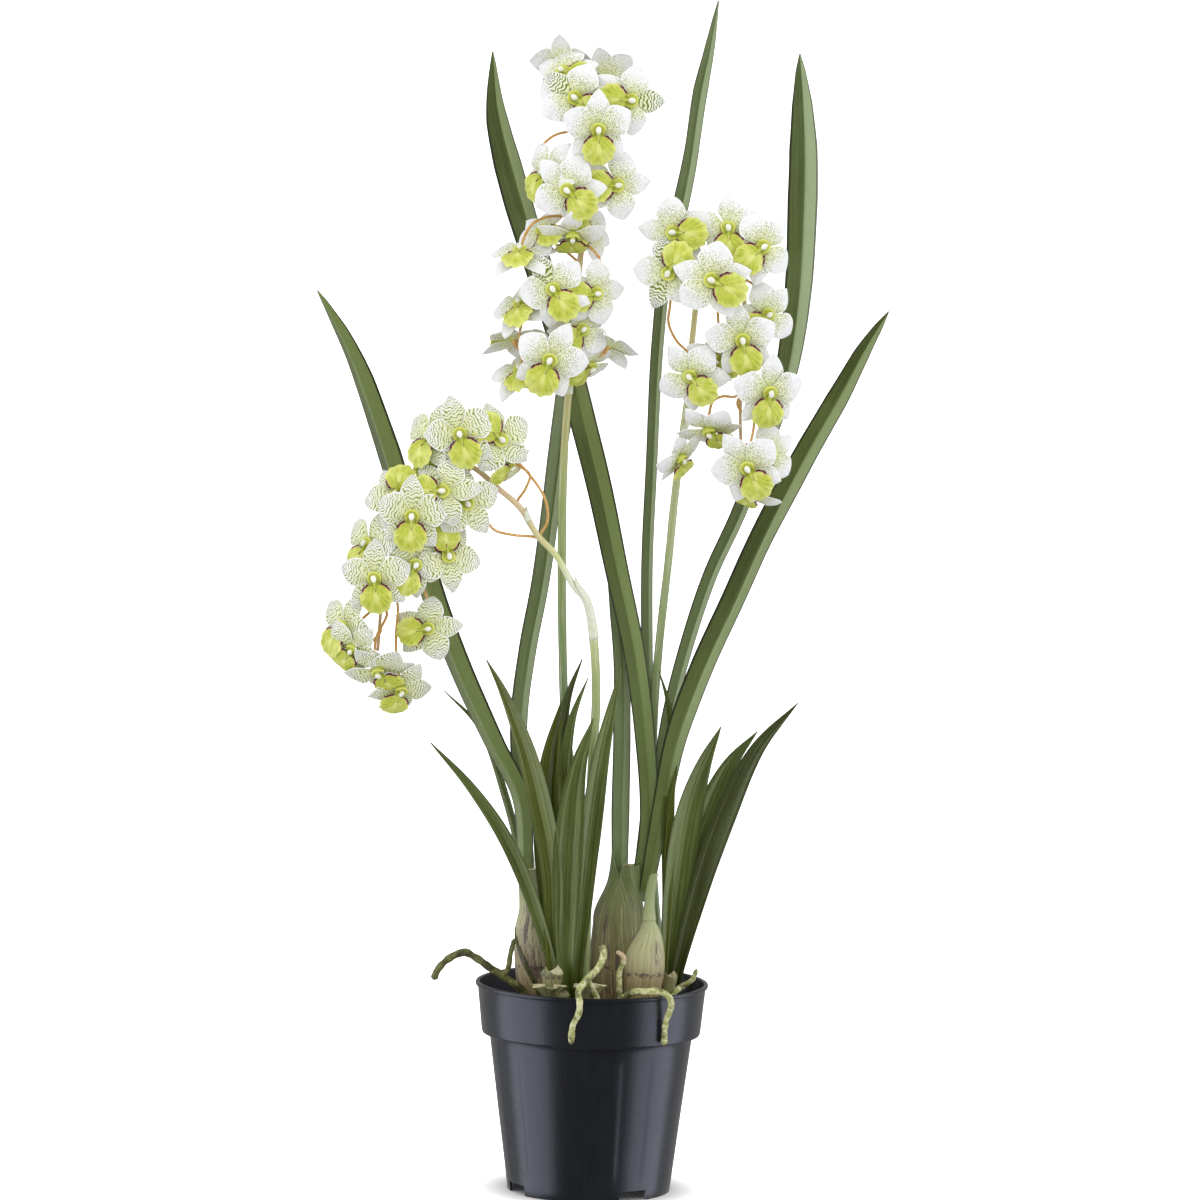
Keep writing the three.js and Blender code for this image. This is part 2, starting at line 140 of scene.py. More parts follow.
def along(stops: Stops, at: np.ndarray) -> np.ndarray:
    """Returns a smooth curve through (place, value) stops, read at each place in at."""
    places = np.array([s[0] for s in stops])
    values = np.array([s[1] for s in stops], float)
    index = np.clip(np.searchsorted(places, at, side="right") - 1, 0, len(places) - 2)
    share = np.clip((at - places[index]) / (places[index + 1] - places[index]), 0, 1)
    share = share * share * (3 - 2 * share)
    return values[index] * (1 - share) + values[index + 1] * share


@dataclass
class Sketch:
    """One mesh in the making: surfaces in millimetres that become a single object."""

    points: list[np.ndarray] = field(default_factory=list)
    faces: list[Sequence[int]] = field(default_factory=list)
    corners: list[np.ndarray] = field(default_factory=list)
    slots: list[int] = field(default_factory=list)
    count: int = 0

    def add_points(self, points: np.ndarray) -> int:
        """Adds points and returns the index of the first."""
        first = self.count
        self.points.append(points.reshape(-1, 3))
        self.count += len(self.points[-1])
        return first

    def add_faces(self, faces: np.ndarray, corners: np.ndarray, slot: int) -> None:
        """Adds faces, one row of point indices each, with a (u, v) for each corner."""
        self.faces.extend(faces.tolist())
        self.corners.append(corners.reshape(-1, 2))
        self.slots.extend([slot] * len(faces))

    def quads(
        self, first: int, rows: int, cols: int, slot: int, closed: bool, flip: bool = False,
        keep: np.ndarray | None = None,
    ) -> None:
        """Adds the quads of a grid of points.

        Args:
            first: Index of the grid's first point.
            rows: Rows of points.
            cols: Columns of points.
            slot: Finish slot.
            closed: True if the last column joins the first.
            flip: True to face the other way.
            keep: Which columns get quads, all if None.
        """
        steps = cols if closed else cols - 1
        i, j = np.meshgrid(np.arange(rows - 1), np.arange(steps), indexing="ij")
        i, j = i.ravel(), j.ravel()
        if keep is not None:
            i, j = i[keep[j]], j[keep[j]]
        k = (j + 1) % cols
        quads = np.stack([i * cols + j, i * cols + k, (i + 1) * cols + k, (i + 1) * cols + j], 1) + first
        u0, u1 = j / steps, (j + 1) / steps
        v0, v1 = i / (rows - 1), (i + 1) / (rows - 1)
        uv = np.stack([u0, v0, u1, v0, u1, v1, u0, v1], 1).reshape(-1, 4, 2)
        if flip:
            quads, uv = quads[:, ::-1], uv[:, ::-1]
        self.add_faces(quads, uv, slot)

    def disc(self, points: np.ndarray) -> None:
        """Adds a flat disc from rings of points; each ring's last point joins its first."""
        rows, cols = points.shape[:2]
        self.quads(self.add_points(points), rows, cols, 0, True, True)

    def cap(self, ring: int, sides: int, end: np.ndarray, above: bool, slot: int) -> None:
        """Closes a ring of points by a fan of triangles.

        Args:
            ring: Index of the ring's first point.
            sides: How many points the ring has.
            end: The point that the fan meets in.
            above: True if the fan closes the upper end.
            slot: Finish slot.
        """
        tip = np.full(sides, self.add_points(end))
        here = ring + np.arange(sides)
        after = ring + (np.arange(sides) + 1) % sides
        fan = np.stack([tip, here, after] if above else [tip, after, here], 1)
        self.add_faces(fan, np.tile([0.5, float(above)], (sides * 3, 1)), slot)

    def solid(
        self, rings: np.ndarray, low: np.ndarray, high: np.ndarray, slot: int = 0, top: int | None = None
    ) -> None:
        """Adds a closed solid from rings of points.

        Args:
            rings: Rings by points by three, from the lower end up.
            low: The point that closes the lower end.
            high: The point that closes the upper end.
            slot: Finish slot.
            top: Finish slot of the upper end, the same if None.
        """
        rows, sides = rings.shape[:2]
        first = self.add_points(rings)
        self.quads(first, rows, sides, slot, True)
        self.cap(first, sides, low, False, slot)
        self.cap(first + (rows - 1) * sides, sides, high, True, slot if top is None else top)

    def sheet(self, points: np.ndarray, thickness: float, front: int = 0, back: int | None = None) -> None:
        """Adds a closed sheet around a grid of points.

        Args:
            points: Rows by columns by three, the middle of the sheet.
            thickness: The sheet's thickness.
            front: Finish slot of the side that faces along (column step) x (row step).
            back: Finish slot of the other side, the same if None.
        """
        rows, cols = points.shape[:2]
        normal = unit(np.cross(np.gradient(points, axis=1), np.gradient(points, axis=0)))
        upper = self.add_points(points + normal * thickness / 2)
        lower = self.add_points(points - normal * thickness / 2)
        back = front if back is None else back
        self.quads(upper, rows, cols, front, False)
        self.quads(lower, rows, cols, back, False, True)
        index = np.arange(rows * cols).reshape(rows, cols)
        u, v = np.meshgrid(np.linspace(0, 1, cols), np.linspace(0, 1, rows))
        rim = np.concatenate([index[0], index[1:, -1], index[-1, -2::-1], index[-2:0:-1, 0]])
        after = np.roll(rim, -1)
        quads = np.stack([rim + lower, after + lower, after + upper, rim + upper], 1)
        here = np.stack([u.ravel(), v.ravel()], 1)
        uv = np.stack([here[rim], here[after], here[after], here[rim]], 1)
        self.add_faces(quads, uv, front)

    def tube(
        self, path: np.ndarray, radii: np.ndarray, sides: int = 10, slot: int = 0, oval: float = 1.0
    ) -> None:
        """Adds a closed tube along a path.

        Args:
            path: Points of the middle line.
            radii: The radius at each point.
            sides: How many sides the tube has.
            slot: Finish slot.
            oval: Width of the tube against its depth.
        """
        out, across = carried_frames(path)
        _, ring = circle(sides)
        ring = ring[None, :, :1] * out[:, None] + oval * ring[None, :, 1:2] * across[:, None]
        points = path[:, None] + ring * np.asarray(radii, float)[:, None, None]
        self.solid(points, path[0], path[-1], slot)

    def turned(
        self,
        profile: Sequence[tuple[float, float]],
        sides: int,
        slot: int = 0,
        shape: Callable[[np.ndarray, np.ndarray], np.ndarray] | None = None,
    ) -> None:
        """Adds a closed solid turned about the Z axis.

        Args:
            profile: (radius, height) pairs, from the axis to the axis, counted so that the outside
                is on the right hand.
            sides: How many sides the solid has.
            slot: Finish slot.
            shape: Takes the ring points and their angles and returns them moved.
        """
        angle, ring = circle(sides)
        points = turned_rings(profile[1:-1], ring)
        ends = vec(0, 0, 1) * np.array([[[profile[0][1]]], [[profile[-1][1]]]])
        if shape is not None:
            points = shape(points, angle)
            ends = shape(ends, np.zeros(1))
        self.solid(points, ends[0], ends[1], slot)

    def move(self, matrix: Matrix) -> None:
        """Moves every surface by a matrix."""
        turn = np.array(matrix.to_3x3())
        shift = np.array(matrix.to_translation())
        self.points = [points @ turn.T + shift for points in self.points]

    def build(self, name: str, finishes: Sequence[Material], sharp: float = 180.0) -> bpy.types.Object:
        """Makes the object.

        Args:
            name: The piece's name.
            finishes: One material for each finish slot.
            sharp: Edges that bend by more than this many degrees stay sharp.

        Returns:
            The new object, linked to the scene.
        """
        mesh = bpy.data.meshes.new(name)
        mesh.from_pydata((np.vstack(self.points) * MM).tolist(), [], self.faces)
        uv = mesh.uv_layers.new(name="UVMap")
        uv.data.foreach_set("uv", np.vstack(self.corners).astype(np.float32).ravel())
        mesh.polygons.foreach_set("material_index", np.array(self.slots, np.int32))
        for finish in finishes:
            mesh.materials.append(finish)
        mesh.shade_smooth()
        if sharp < 180:
            mesh.set_sharp_from_angle(angle=math.radians(sharp))
        mesh.validate()
        piece = bpy.data.objects.new(name, mesh)
        bpy.context.scene.collection.objects.link(piece)
        return piece


def place_piece(piece: bpy.types.Object, nodes: Sequence[str] = ()) -> None:
    """Rides a piece on the plant's one body and hides the CAD nodes it replaces.

    Args:
        piece: The new piece.
        nodes: The CAD nodes it replaces.
    """
    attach(piece, "root")
    if nodes:
        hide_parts(*nodes)
    LOG.info("%s: %d faces", piece.name, len(piece.data.polygons))


# Finishes


class Graph:
    """A node graph, with short calls for the nodes that the finishes use."""

    def __init__(self, tree: bpy.types.NodeTree) -> None:
        """Takes hold of a node tree."""
        self.tree = tree

    def node(
        self, kind: str, inputs: dict[str | int, object] | None = None, **settings: object
    ) -> bpy.types.Node:
        """Adds a node, sets its properties and feeds its inputs by name or number."""
        made = self.tree.nodes.new(kind)
        for key, value in settings.items():
            setattr(made, key, value)
        for key, value in (inputs or {}).items():
            self.feed(made.inputs[key], value)
        return made

    def feed(self, socket: Socket, value: object) -> None:
        """Links a socket to another, or sets it to a plain value."""
        if isinstance(value, bpy.types.NodeSocket):
            self.tree.links.new(value, socket)
        elif isinstance(value, tuple) and len(value) == 3 and socket.type == "RGBA":
            socket.default_value = (*value, 1.0)
        else:
            socket.default_value = value

    def parts(self, vector: Socket) -> Sequence[Socket]:
        """Returns the three values of a vector."""
        return self.node("ShaderNodeSeparateXYZ", {0: vector}).outputs

    def uv(self) -> tuple[Socket, Socket]:
        """Returns u, across the surface, and v, along it."""
        parts = self.parts(self.node("ShaderNodeUVMap", uv_map="UVMap").outputs[0])
        return parts[0], parts[1]

    def place(self) -> Socket:
        """Returns the place in the part's frame, in metres."""
        return self.node("ShaderNodeTexCoord").outputs["Object"]

    def join(self, x: object, y: object, z: object = 0.0) -> Socket:
        """Returns a vector of three values."""
        return self.node("ShaderNodeCombineXYZ", {0: x, 1: y, 2: z}).outputs[0]

    def stretched(self, vector: Socket, scale: Place) -> Socket:
        """Returns a vector scaled on each axis."""
        return self.node("ShaderNodeVectorMath", {0: vector, 1: scale}, operation="MULTIPLY").outputs[0]

    def noise(self, vector: Socket, scale: float, detail: float = 2.0, rough: float = 0.5) -> Socket:
        """Returns fractal noise from 0 to 1."""
        inputs = {"Vector": vector, "Scale": scale, "Detail": detail, "Roughness": rough}
        return self.node("ShaderNodeTexNoise", inputs).outputs["Fac"]

    def cells(self, vector: Socket, scale: float) -> Socket:
        """Returns the distance to the nearest cell point."""
        return self.node("ShaderNodeTexVoronoi", {"Vector": vector, "Scale": scale}).outputs["Distance"]

    def math(self, operation: str, *values: object) -> Socket:
        """Returns the result of one sum."""
        return self.node("ShaderNodeMath", dict(enumerate(values)), operation=operation).outputs[0]

    def times(self, a: object, b: object) -> Socket:
        """Returns a product."""
        return self.math("MULTIPLY", a, b)

    def plus(self, a: object, b: object) -> Socket:
        """Returns a sum of two."""
        return self.math("ADD", a, b)

    def less(self, a: object, b: object) -> Socket:
        """Returns a difference."""
        return self.math("SUBTRACT", a, b)

    def off(self, value: Socket, middle: float) -> Socket:
        """Returns how far a value is from a middle."""
        return self.math("ABSOLUTE", self.less(value, middle))

    def stray(self, value: Socket, noise: Socket, reach: float) -> Socket:
        """Returns a value that noise moves up and down by half a reach."""
        return self.plus(value, self.times(self.less(noise, 0.5), reach))

    def spread(self, u: Socket, v: Socket, wide: float, tall: float, third: object = 0.0) -> Socket:
        """Returns (u, v) scaled on both ways, with a third value."""
        return self.join(self.times(u, wide), self.times(v, tall), third)

    def rough(self, value: Socket, share: float, least: float) -> Socket:
        """Returns a roughness that rises from a least value."""
        return self.math("MULTIPLY_ADD", value, share, least)

    def step(self, value: object, low: float, high: float) -> Socket:
        """Returns a smooth step of value from 0 at low to 1 at high."""
        falls = low > high
        inputs = {"Value": value, "From Min": min(low, high), "From Max": max(low, high)}
        inputs |= {"To Min": float(falls), "To Max": float(not falls)}
        return self.node("ShaderNodeMapRange", inputs, interpolation_type="SMOOTHSTEP").outputs["Result"]

    def mix(self, share: object, a: object, b: object) -> Socket:
        """Returns a mix of two colours."""
        inputs = {0: share, 6: a, 7: b}
        return self.node("ShaderNodeMix", inputs, data_type="RGBA", clamp_factor=True).outputs[2]

    def lay(self, colour: Socket, over: object, share: Socket, strength: object) -> Socket:
        """Returns a colour with another laid over it by a share times a strength."""
        return self.mix(self.times(share, strength), colour, over)

    def ramp(self, value: Socket, stops: Sequence[tuple[float, Colour]]) -> Socket:
        """Returns a colour read from stops of (place, colour)."""
        made = self.node("ShaderNodeValToRGB", {0: value})
        points = made.color_ramp.elements
        while len(points) < len(stops):
            points.new(0.5)
        for point, (at, colour) in zip(points, stops):
            point.position = at
            point.color = (*colour, 1.0)
        return made.outputs[0]

    def bump(self, height: Socket, strength: float, depth: float) -> Socket:
        """Returns a normal bent by a height that reaches depth metres."""
        inputs = {"Strength": strength, "Distance": depth, "Height": height}
        return self.node("ShaderNodeBump", inputs).outputs[0]


class Shader(Graph):
    """The node graph of a material with one Principled shader."""

    def __init__(self, name: str) -> None:
        """Starts a new material."""
        self.material = bpy.data.materials.new(name)
        self.material.use_nodes = True
        super().__init__(self.material.node_tree)

    def finish(self, colour: Socket, rough: object, gloss: float = 0.5, **sockets: object) -> Material:
        """Sets the Principled shader's sockets and returns the material.

        Args:
            colour: The base colour.
            rough: The roughness.
            gloss: The specular level.
            sockets: Other sockets, named with _ for a space.
        """
        sockets |= {"Base_Color": colour, "Roughness": rough, "Specular_IOR_Level": gloss}
        for key, value in sockets.items():
            self.feed(self.tree.nodes["Principled BSDF"].inputs[key.replace("_", " ")], value)
        return self.material


def rgb(code: str) -> Colour:
    """Returns a linear colour from a hexadecimal display colour."""
    parts = [int(code[i : i + 2], 16) / 255 for i in (0, 2, 4)]
    return tuple(c / 12.92 if c <= 0.04045 else ((c + 0.055) / 1.055) ** 2.4 for c in parts)


def shades(*codes: str) -> tuple[Colour, ...]:
    """Returns the colours of hexadecimal codes."""
    return tuple(rgb(code) for code in codes)


def ladder(codes: dict[float, str]) -> tuple[tuple[float, Colour], ...]:
    """Returns (place, colour) stops from hexadecimal codes by place."""
    return tuple((place, rgb(code)) for place, code in codes.items())


@dataclass(frozen=True)
class PotPlastic:
    """Charcoal injection-moulded plastic with a soft sheen and faint handling marks."""

    body: Colour = rgb("16181c")
    worn: Colour = rgb("1c1f25")

    def make(self) -> Material:
        """Returns the material."""
        s = Shader("pot_plastic")
        place = s.place()
        cloud = s.noise(place, 14, 4, 0.6)
        rings = s.noise(s.stretched(place, (1, 1, 14)), 60, 3, 0.6)
        drawn = s.noise(s.stretched(place, (1, 1, 0.04)), 170, 2, 0.6)
        colour = s.mix(s.step(cloud, 0.45, 0.75), self.body, self.worn)
        colour = s.lay(colour, self.worn, s.step(drawn, 0.5, 0.7), 0.6)
        rough = s.rough(s.plus(rings, drawn), 0.07, 0.22)
        grain = s.plus(s.noise(place, 900, 2), s.plus(s.times(rings, 0.5), drawn))
        return s.finish(colour, rough, 0.5, Normal=s.bump(grain, 0.14, 0.0004))


@dataclass(frozen=True)
class BarkChip:
    """Dark damp bark, fibrous along each chip."""

    dark: Colour = rgb("2a211a")
    light: Colour = rgb("6b5540")

    def make(self) -> Material:
        """Returns the material."""
        s = Shader("bark")
        place = s.place()
        broad = s.noise(place, 60, 3)
        fine = s.noise(s.stretched(place, (1, 3, 2)), 420, 4, 0.7)
        colour = s.mix(s.step(broad, 0.35, 0.7), self.dark, self.light)
        colour = s.lay(colour, self.dark, s.step(fine, 0.5, 0.75), 0.6)
        return s.finish(colour, 0.92, Normal=s.bump(fine, 0.6, 0.001))


@dataclass(frozen=True)
class StrapLeaf:
    """A firm strap leaf: fine parallel veins, dark margins and a paler midline.

    Attributes:
        name: The material's name.
        upper: Colour of the blade.
        shade: Colour of streaks and veins.
        edge: Colour of margins and specks.
        bloom: The pale wax on it, and the colour of the painted light on the right half.
        veins: How many veins cross it.
        gloss: Its least roughness.
        lines: How strongly the veins show.
        sheen: Specular level.
        tint: Colour of the sheen.
        painted_light_half: How much paler the right half is painted: painted light, where side light falls on
            that half.
        foot: How much paler the foot is.
        margin: Where the dark margin begins and is full, from the midline.
    """

    name: str
    upper: Colour
    shade: Colour
    edge: Colour
    bloom: Colour
    veins: float = 26.0
    gloss: float = 0.42
    lines: float = 0.16
    sheen: float = 1.0
    tint: Colour = (1.0, 1.06, 0.62)
    painted_light_half: float = 0.0
    foot: float = 0.3
    margin: tuple[float, float] = (0.428, 0.452)

    def make(self) -> Material:
        """Returns the material."""
        s = Shader(self.name)
        u, v = s.uv()
        place = s.place()
        stretched = s.spread(u, v, 9.0, 3.0)
        cloud = s.noise(place, 9, 3, 0.55)
        streak = s.noise(stretched, 2.2, 4, 0.6)
        colour = s.mix(s.step(streak, 0.25, 0.75), self.shade, self.upper)
        colour = s.lay(colour, self.bloom, s.step(cloud, 0.45, 0.75), 0.35)
        low = s.times(s.step(v, 0.6, 0.1), self.foot)
        colour = s.mix(low, colour, self.bloom)
        # Painted light: the right half is laid paler with the bloom colour, standing for side light on that
        # half.
        if self.painted_light_half:
            colour = s.lay(colour, self.bloom, s.step(u, 0.49, 0.52), self.painted_light_half)
        wave = s.math("SINE", s.times(u, self.veins * 2 * math.pi))
        colour = s.lay(colour, self.shade, s.step(wave, 0.2, 1.0), self.lines)
        rim = s.off(u, 0.5)
        nibble = s.noise(s.join(0.0, s.times(v, 42.0), 3.0), 1.0, 3, 0.7)
        rim = s.plus(rim, s.times(nibble, 0.03))
        colour = s.lay(colour, self.edge, s.step(rim, *self.margin), 0.92)
        colour = s.lay(colour, self.bloom, s.step(rim, 0.035, 0.012), 0.3)
        speck = s.step(s.noise(place, 520, 1), 0.7, 0.78)
        colour = s.lay(colour, self.edge, speck, 0.25)
        height = s.plus(s.times(wave, 0.5), s.noise(stretched, 14, 3, 0.6))
        rough = s.rough(streak, 0.16, self.gloss)
        normal = s.bump(height, 0.35, 0.0003)
        return s.finish(colour, rough, self.sheen, Specular_Tint=self.tint, Normal=normal)


@dataclass(frozen=True)
class BulbSheath:
    """Smooth leaf sheath: colours that change up the bulb, faint veins, purple streaks and a node ring.

    Attributes:
        name: The material's name.
        stops: (share of the height, colour) stops from the bark to the neck.
        streak: Colour of the streaks and of the node ring.
        cover: How much of the sheath is streaked, from 0 to 1.
        bark: Height of the bark, in metres.
        reach: Shares of the ramp to a metre of height.
        node: Height of the node ring, in metres.
    """

    name: str
    stops: tuple[tuple[float, Colour], ...]
    streak: Colour = rgb("5d4a4b")
    cover: float = 0.5
    bark: float = 0.146
    reach: float = 8.6
    node: float = 0.1825

    def make(self) -> Material:
        """Returns the material."""
        s = Shader(self.name)
        u, _ = s.uv()
        place = s.place()
        z = s.parts(place)[2]
        rise = s.times(s.less(z, self.bark), self.reach)
        wide = s.noise(s.spread(u, z, 12.0, 16.0, 4.0), 1.0, 3)
        level = s.stray(rise, wide, 0.5)
        colour = s.ramp(level, self.stops)
        vein = s.noise(s.spread(u, z, 80.0, 14.0), 1.5, 5, 0.65)
        colour = s.lay(colour, rgb("cfc9a2"), s.step(vein, 0.5, 0.66), 0.42)
        colour = s.lay(colour, rgb("5a5636"), s.step(vein, 0.5, 0.36), 0.55)
        patch = s.noise(s.stretched(place, (1.0, 1.0, 0.4)), 36, 2)
        blot = s.noise(s.spread(u, z, 46.0, 30.0, 9.0), 1.0, 4, 0.7)
        bare = 0.62 - 0.2 * self.cover
        mark = s.times(s.step(blot, 0.5, 0.57), s.step(patch, bare, bare + 0.06))
        mark = s.times(mark, s.step(rise, 0.98, 0.7))
        colour = s.lay(colour, self.streak, mark, 0.82)
        ring = s.step(s.off(z, self.node), 0.0028, 0.0008)
        broken = s.step(s.noise(s.spread(u, z, 26.0, 300.0, 2.0), 1.0, 2), 0.48, 0.54)
        colour = s.lay(colour, rgb("46363a"), s.times(ring, broken), 0.75)
        height = s.plus(s.times(vein, 0.6), s.times(mark, -0.3))
        return s.finish(colour, 0.55, 0.4, Normal=s.bump(height, 0.4, 0.0008))


@dataclass(frozen=True)
class RootSkin:
    """Aerial root: green and cream mottling over a dry brown skin."""

    name: str = "root_skin"
    green: Colour = rgb("9aa35c")
    cream: Colour = rgb("d6d3a4")
    brown: Colour = rgb("5e5634")

    def make(self) -> Material:
        """Returns the material."""
        s = Shader(self.name)
        place = s.place()
        mottle = s.noise(place, 230, 4, 0.7)
        patch = s.noise(place, 90, 3, 0.6)
        colour = s.mix(s.step(mottle, 0.42, 0.6), self.green, self.cream)
        colour = s.lay(colour, self.brown, s.step(patch, 0.5, 0.62), 0.8)
        pit = s.cells(place, 420)
        return s.finish(colour, 0.66, 0.4, Normal=s.bump(s.plus(mottle, pit), 0.6, 0.0008))


@dataclass(frozen=True)
class StemSkin:
    """A flower stem whose colour changes along its length."""

    name: str
    stops: tuple[tuple[float, Colour], ...]

    def make(self) -> Material:
        """Returns the material."""
        s = Shader(self.name)
        u, v = s.uv()
        run = s.spread(u, v, 10.0, 14.0)
        streak = s.noise(run, 1.3, 3, 0.6)
        base = s.ramp(s.stray(v, streak, 0.06), self.stops)
        colour = s.mix(s.times(s.step(streak, 0.5, 0.75), 0.35), base, rgb("efe9cf"))
        colour = s.lay(colour, rgb("6d6a35"), s.step(streak, 0.45, 0.3), 0.3)
        return s.finish(colour, 0.42, 0.45, Normal=s.bump(streak, 0.3, 0.0003))


@dataclass(frozen=True)
class Tepal:
    """Thin white sepal or petal with painted grey-blue shade, washed yellow-green at its foot.

    Attributes:
        name: The material's name.
        rows: How many rows of dashes fit along its length; none for fine speckles.
        cover: How much of each row, or of the speckled ground, is inked.
        reach: Where along the length the marks have faded out.
        ink: How strongly the marks show.
        thin: How thin the dashes are, from 0.4 for bold to 1 for hairlines.
        tinge: How far along the length the green wash reaches.
    """

    name: str
    rows: float
    cover: float
    reach: float
    ink: float
    thin: float = 0.55
    tinge: float = 0.5
    white: Colour = rgb("f3f3f5")
    painted_shade_and_veins: Colour = rgb("dadde3")
    rim: Colour = rgb("f9f9fa")
    dash: Colour = rgb("6f8510")
    wash: Colour = rgb("e1e69c")

    def _speckles(self, s: Shader, u: Socket, v: Socket, drift: Socket) -> Socket:
        """Returns the ink of fine speckles that thin out towards the tip."""
        spread = s.spread(u, v, 27.0, 38.0)
        dots = s.cells(spread, 1.0)
        bare = s.stray(v, drift, 0.5)
        size = s.times(s.step(bare, self.reach, 0.15), self.cover)
        return s.step(s.less(dots, size), 0.05, -0.06)

    def _dashes(self, s: Shader, u: Socket, v: Socket, drift: Socket) -> Socket:
        """Returns the ink of broken rows of dashes that run across."""
        bow = s.math("POWER", s.times(s.off(u, 0.5), 2.0), 2.0)
        wander = s.noise(s.spread(u, v, 3.0, 3.0, drift), 1.4, 2)
        row = s.times(s.plus(v, s.times(wander, 0.22)), self.rows)
        row = s.less(row, s.times(bow, 1.3))
        wave = s.math("SINE", s.times(row, 2 * math.pi))
        broken = s.noise(s.spread(u, row, 9.0, 0.9, drift), 1.5, 2, 0.6)
        cut = 0.68 - 0.36 * self.cover
        thick = s.plus(wave, s.times(broken, 0.6))
        dash = s.times(s.step(thick, self.thin, self.thin + 0.2), s.step(broken, cut, cut + 0.06))
        return s.times(dash, s.step(v, self.reach + 0.15, self.reach - 0.2))

    def make(self) -> Material:
        """Returns the material."""
        s = Shader(self.name)
        u, v = s.uv()
        place = s.place()
        drift = s.noise(place, 55, 2)
        soft = s.noise(place, 140, 3, 0.6)
        fan = s.noise(s.spread(u, v, 24.0, 1.4), 1.4, 3, 0.6)
        # Painted shade: grey-blue laid in soft clouds over the white, and in fanned lines that stand for the
        # veins.
        colour = s.mix(s.times(s.step(soft, 0.45, 0.8), 0.4), self.white, self.painted_shade_and_veins)
        colour = s.lay(colour, self.painted_shade_and_veins, s.step(fan, 0.52, 0.72), 0.4)
        colour = s.lay(colour, self.wash, s.step(v, self.tinge, 0.05), 0.72)
        marks = self._dashes(s, u, v, drift) if self.rows else self._speckles(s, u, v, drift)
        colour = s.lay(colour, self.dash, marks, self.ink)
        side = s.times(s.off(u, 0.5), 2.0)
        margin = s.math("MAXIMUM", s.step(side, 0.88, 0.95), s.step(v, 0.955, 0.985))
        colour = s.lay(colour, self.rim, margin, 0.85)
        return s.finish(colour, 0.55, 0.3, Normal=s.bump(s.plus(s.times(fan, 0.8), soft), 0.35, 0.0005))


@dataclass(frozen=True)
class LipSkin:
    """Lime lip: fanned pleats, a paler frilled margin and burgundy shoulders."""

    lime: Colour = rgb("cfd650")
    deep: Colour = rgb("a8b834")
    pale: Colour = rgb("e9ec8e")
    wine: Colour = rgb("561029")
    pink: Colour = rgb("c06f83")

    def make(self) -> Material:
        """Returns the material."""
        s = Shader("lip")
        u, v = s.uv()
        side = s.times(s.off(u, 0.5), 2.0)
        fan = s.noise(s.spread(u, v, 44.0, 1.5), 1.2, 3, 0.55)
        colour = s.mix(s.step(fan, 0.36, 0.62), self.deep, self.lime)
        cloud = s.noise(s.place(), 110, 2)
        colour = s.lay(colour, self.pale, s.step(cloud, 0.45, 0.7), 0.5)
        colour = s.lay(colour, self.pale, s.step(v, 0.72, 1.0), 0.6)
        ridge = s.times(s.step(side, 0.2, 0.05), s.step(v, 0.75, 0.3))
        colour = s.lay(colour, self.pale, ridge, 0.7)
        ragged = s.stray(v, fan, 0.16)
        ragged = s.plus(ragged, s.times(s.less(side, 0.7), 0.5))
        shoulder = s.step(side, 0.58, 0.68)
        blush = s.times(s.step(ragged, 0.68, 0.84), shoulder)
        colour = s.lay(colour, self.pink, blush, 0.8)
        stain = s.times(s.step(ragged, 0.8, 0.88), shoulder)
        colour = s.mix(stain, colour, self.wine)
        return s.finish(colour, 0.45, 0.4, Normal=s.bump(fan, 0.6, 0.0008))


@dataclass(frozen=True)
class CupSkin:
    """The ring round the column: yellow-green, stained burgundy low on both sides."""

    ring: Colour = rgb("d9de68")
    well: Colour = rgb("c3cb55")
    wine: Colour = rgb("561029")
    stains: tuple[float, float] = (0.56, 0.94)

    def make(self) -> Material:
        """Returns the material."""
        s = Shader("column_cup")
        u, v = s.uv()
        soft = s.noise(s.place(), 300, 2)
        colour = s.mix(s.step(v, 0.2, 0.5), self.well, self.ring)
        colour = s.lay(colour, self.well, s.step(v, 0.72, 0.9), 0.8)
        colour = s.lay(colour, rgb("e4e98c"), s.step(soft, 0.5, 0.7), 0.5)
        left, right = (s.off(u, middle) for middle in self.stains)
        near = s.plus(s.math("MINIMUM", left, right), s.times(soft, 0.03))
        stain = s.times(s.step(near, 0.09, 0.06), s.step(v, 0.3, 0.4))
        stain = s.times(stain, s.step(v, 0.66, 0.58))
        colour = s.mix(stain, colour, self.wine)
        return s.finish(colour, 0.4, 0.45)


@dataclass(frozen=True)
class PlainSkin:
    """A small part of one colour, clouded by fine noise."""

    name: str
    colour: Colour
    cloud: Colour
    gloss: float = 0.4

    def make(self) -> Material:
        """Returns the material."""
        s = Shader(self.name)
        soft = s.noise(s.place(), 350, 3)
        colour = s.mix(s.step(soft, 0.4, 0.7), self.colour, self.cloud)
        return s.finish(colour, self.gloss, Normal=s.bump(soft, 0.25, 0.0003))


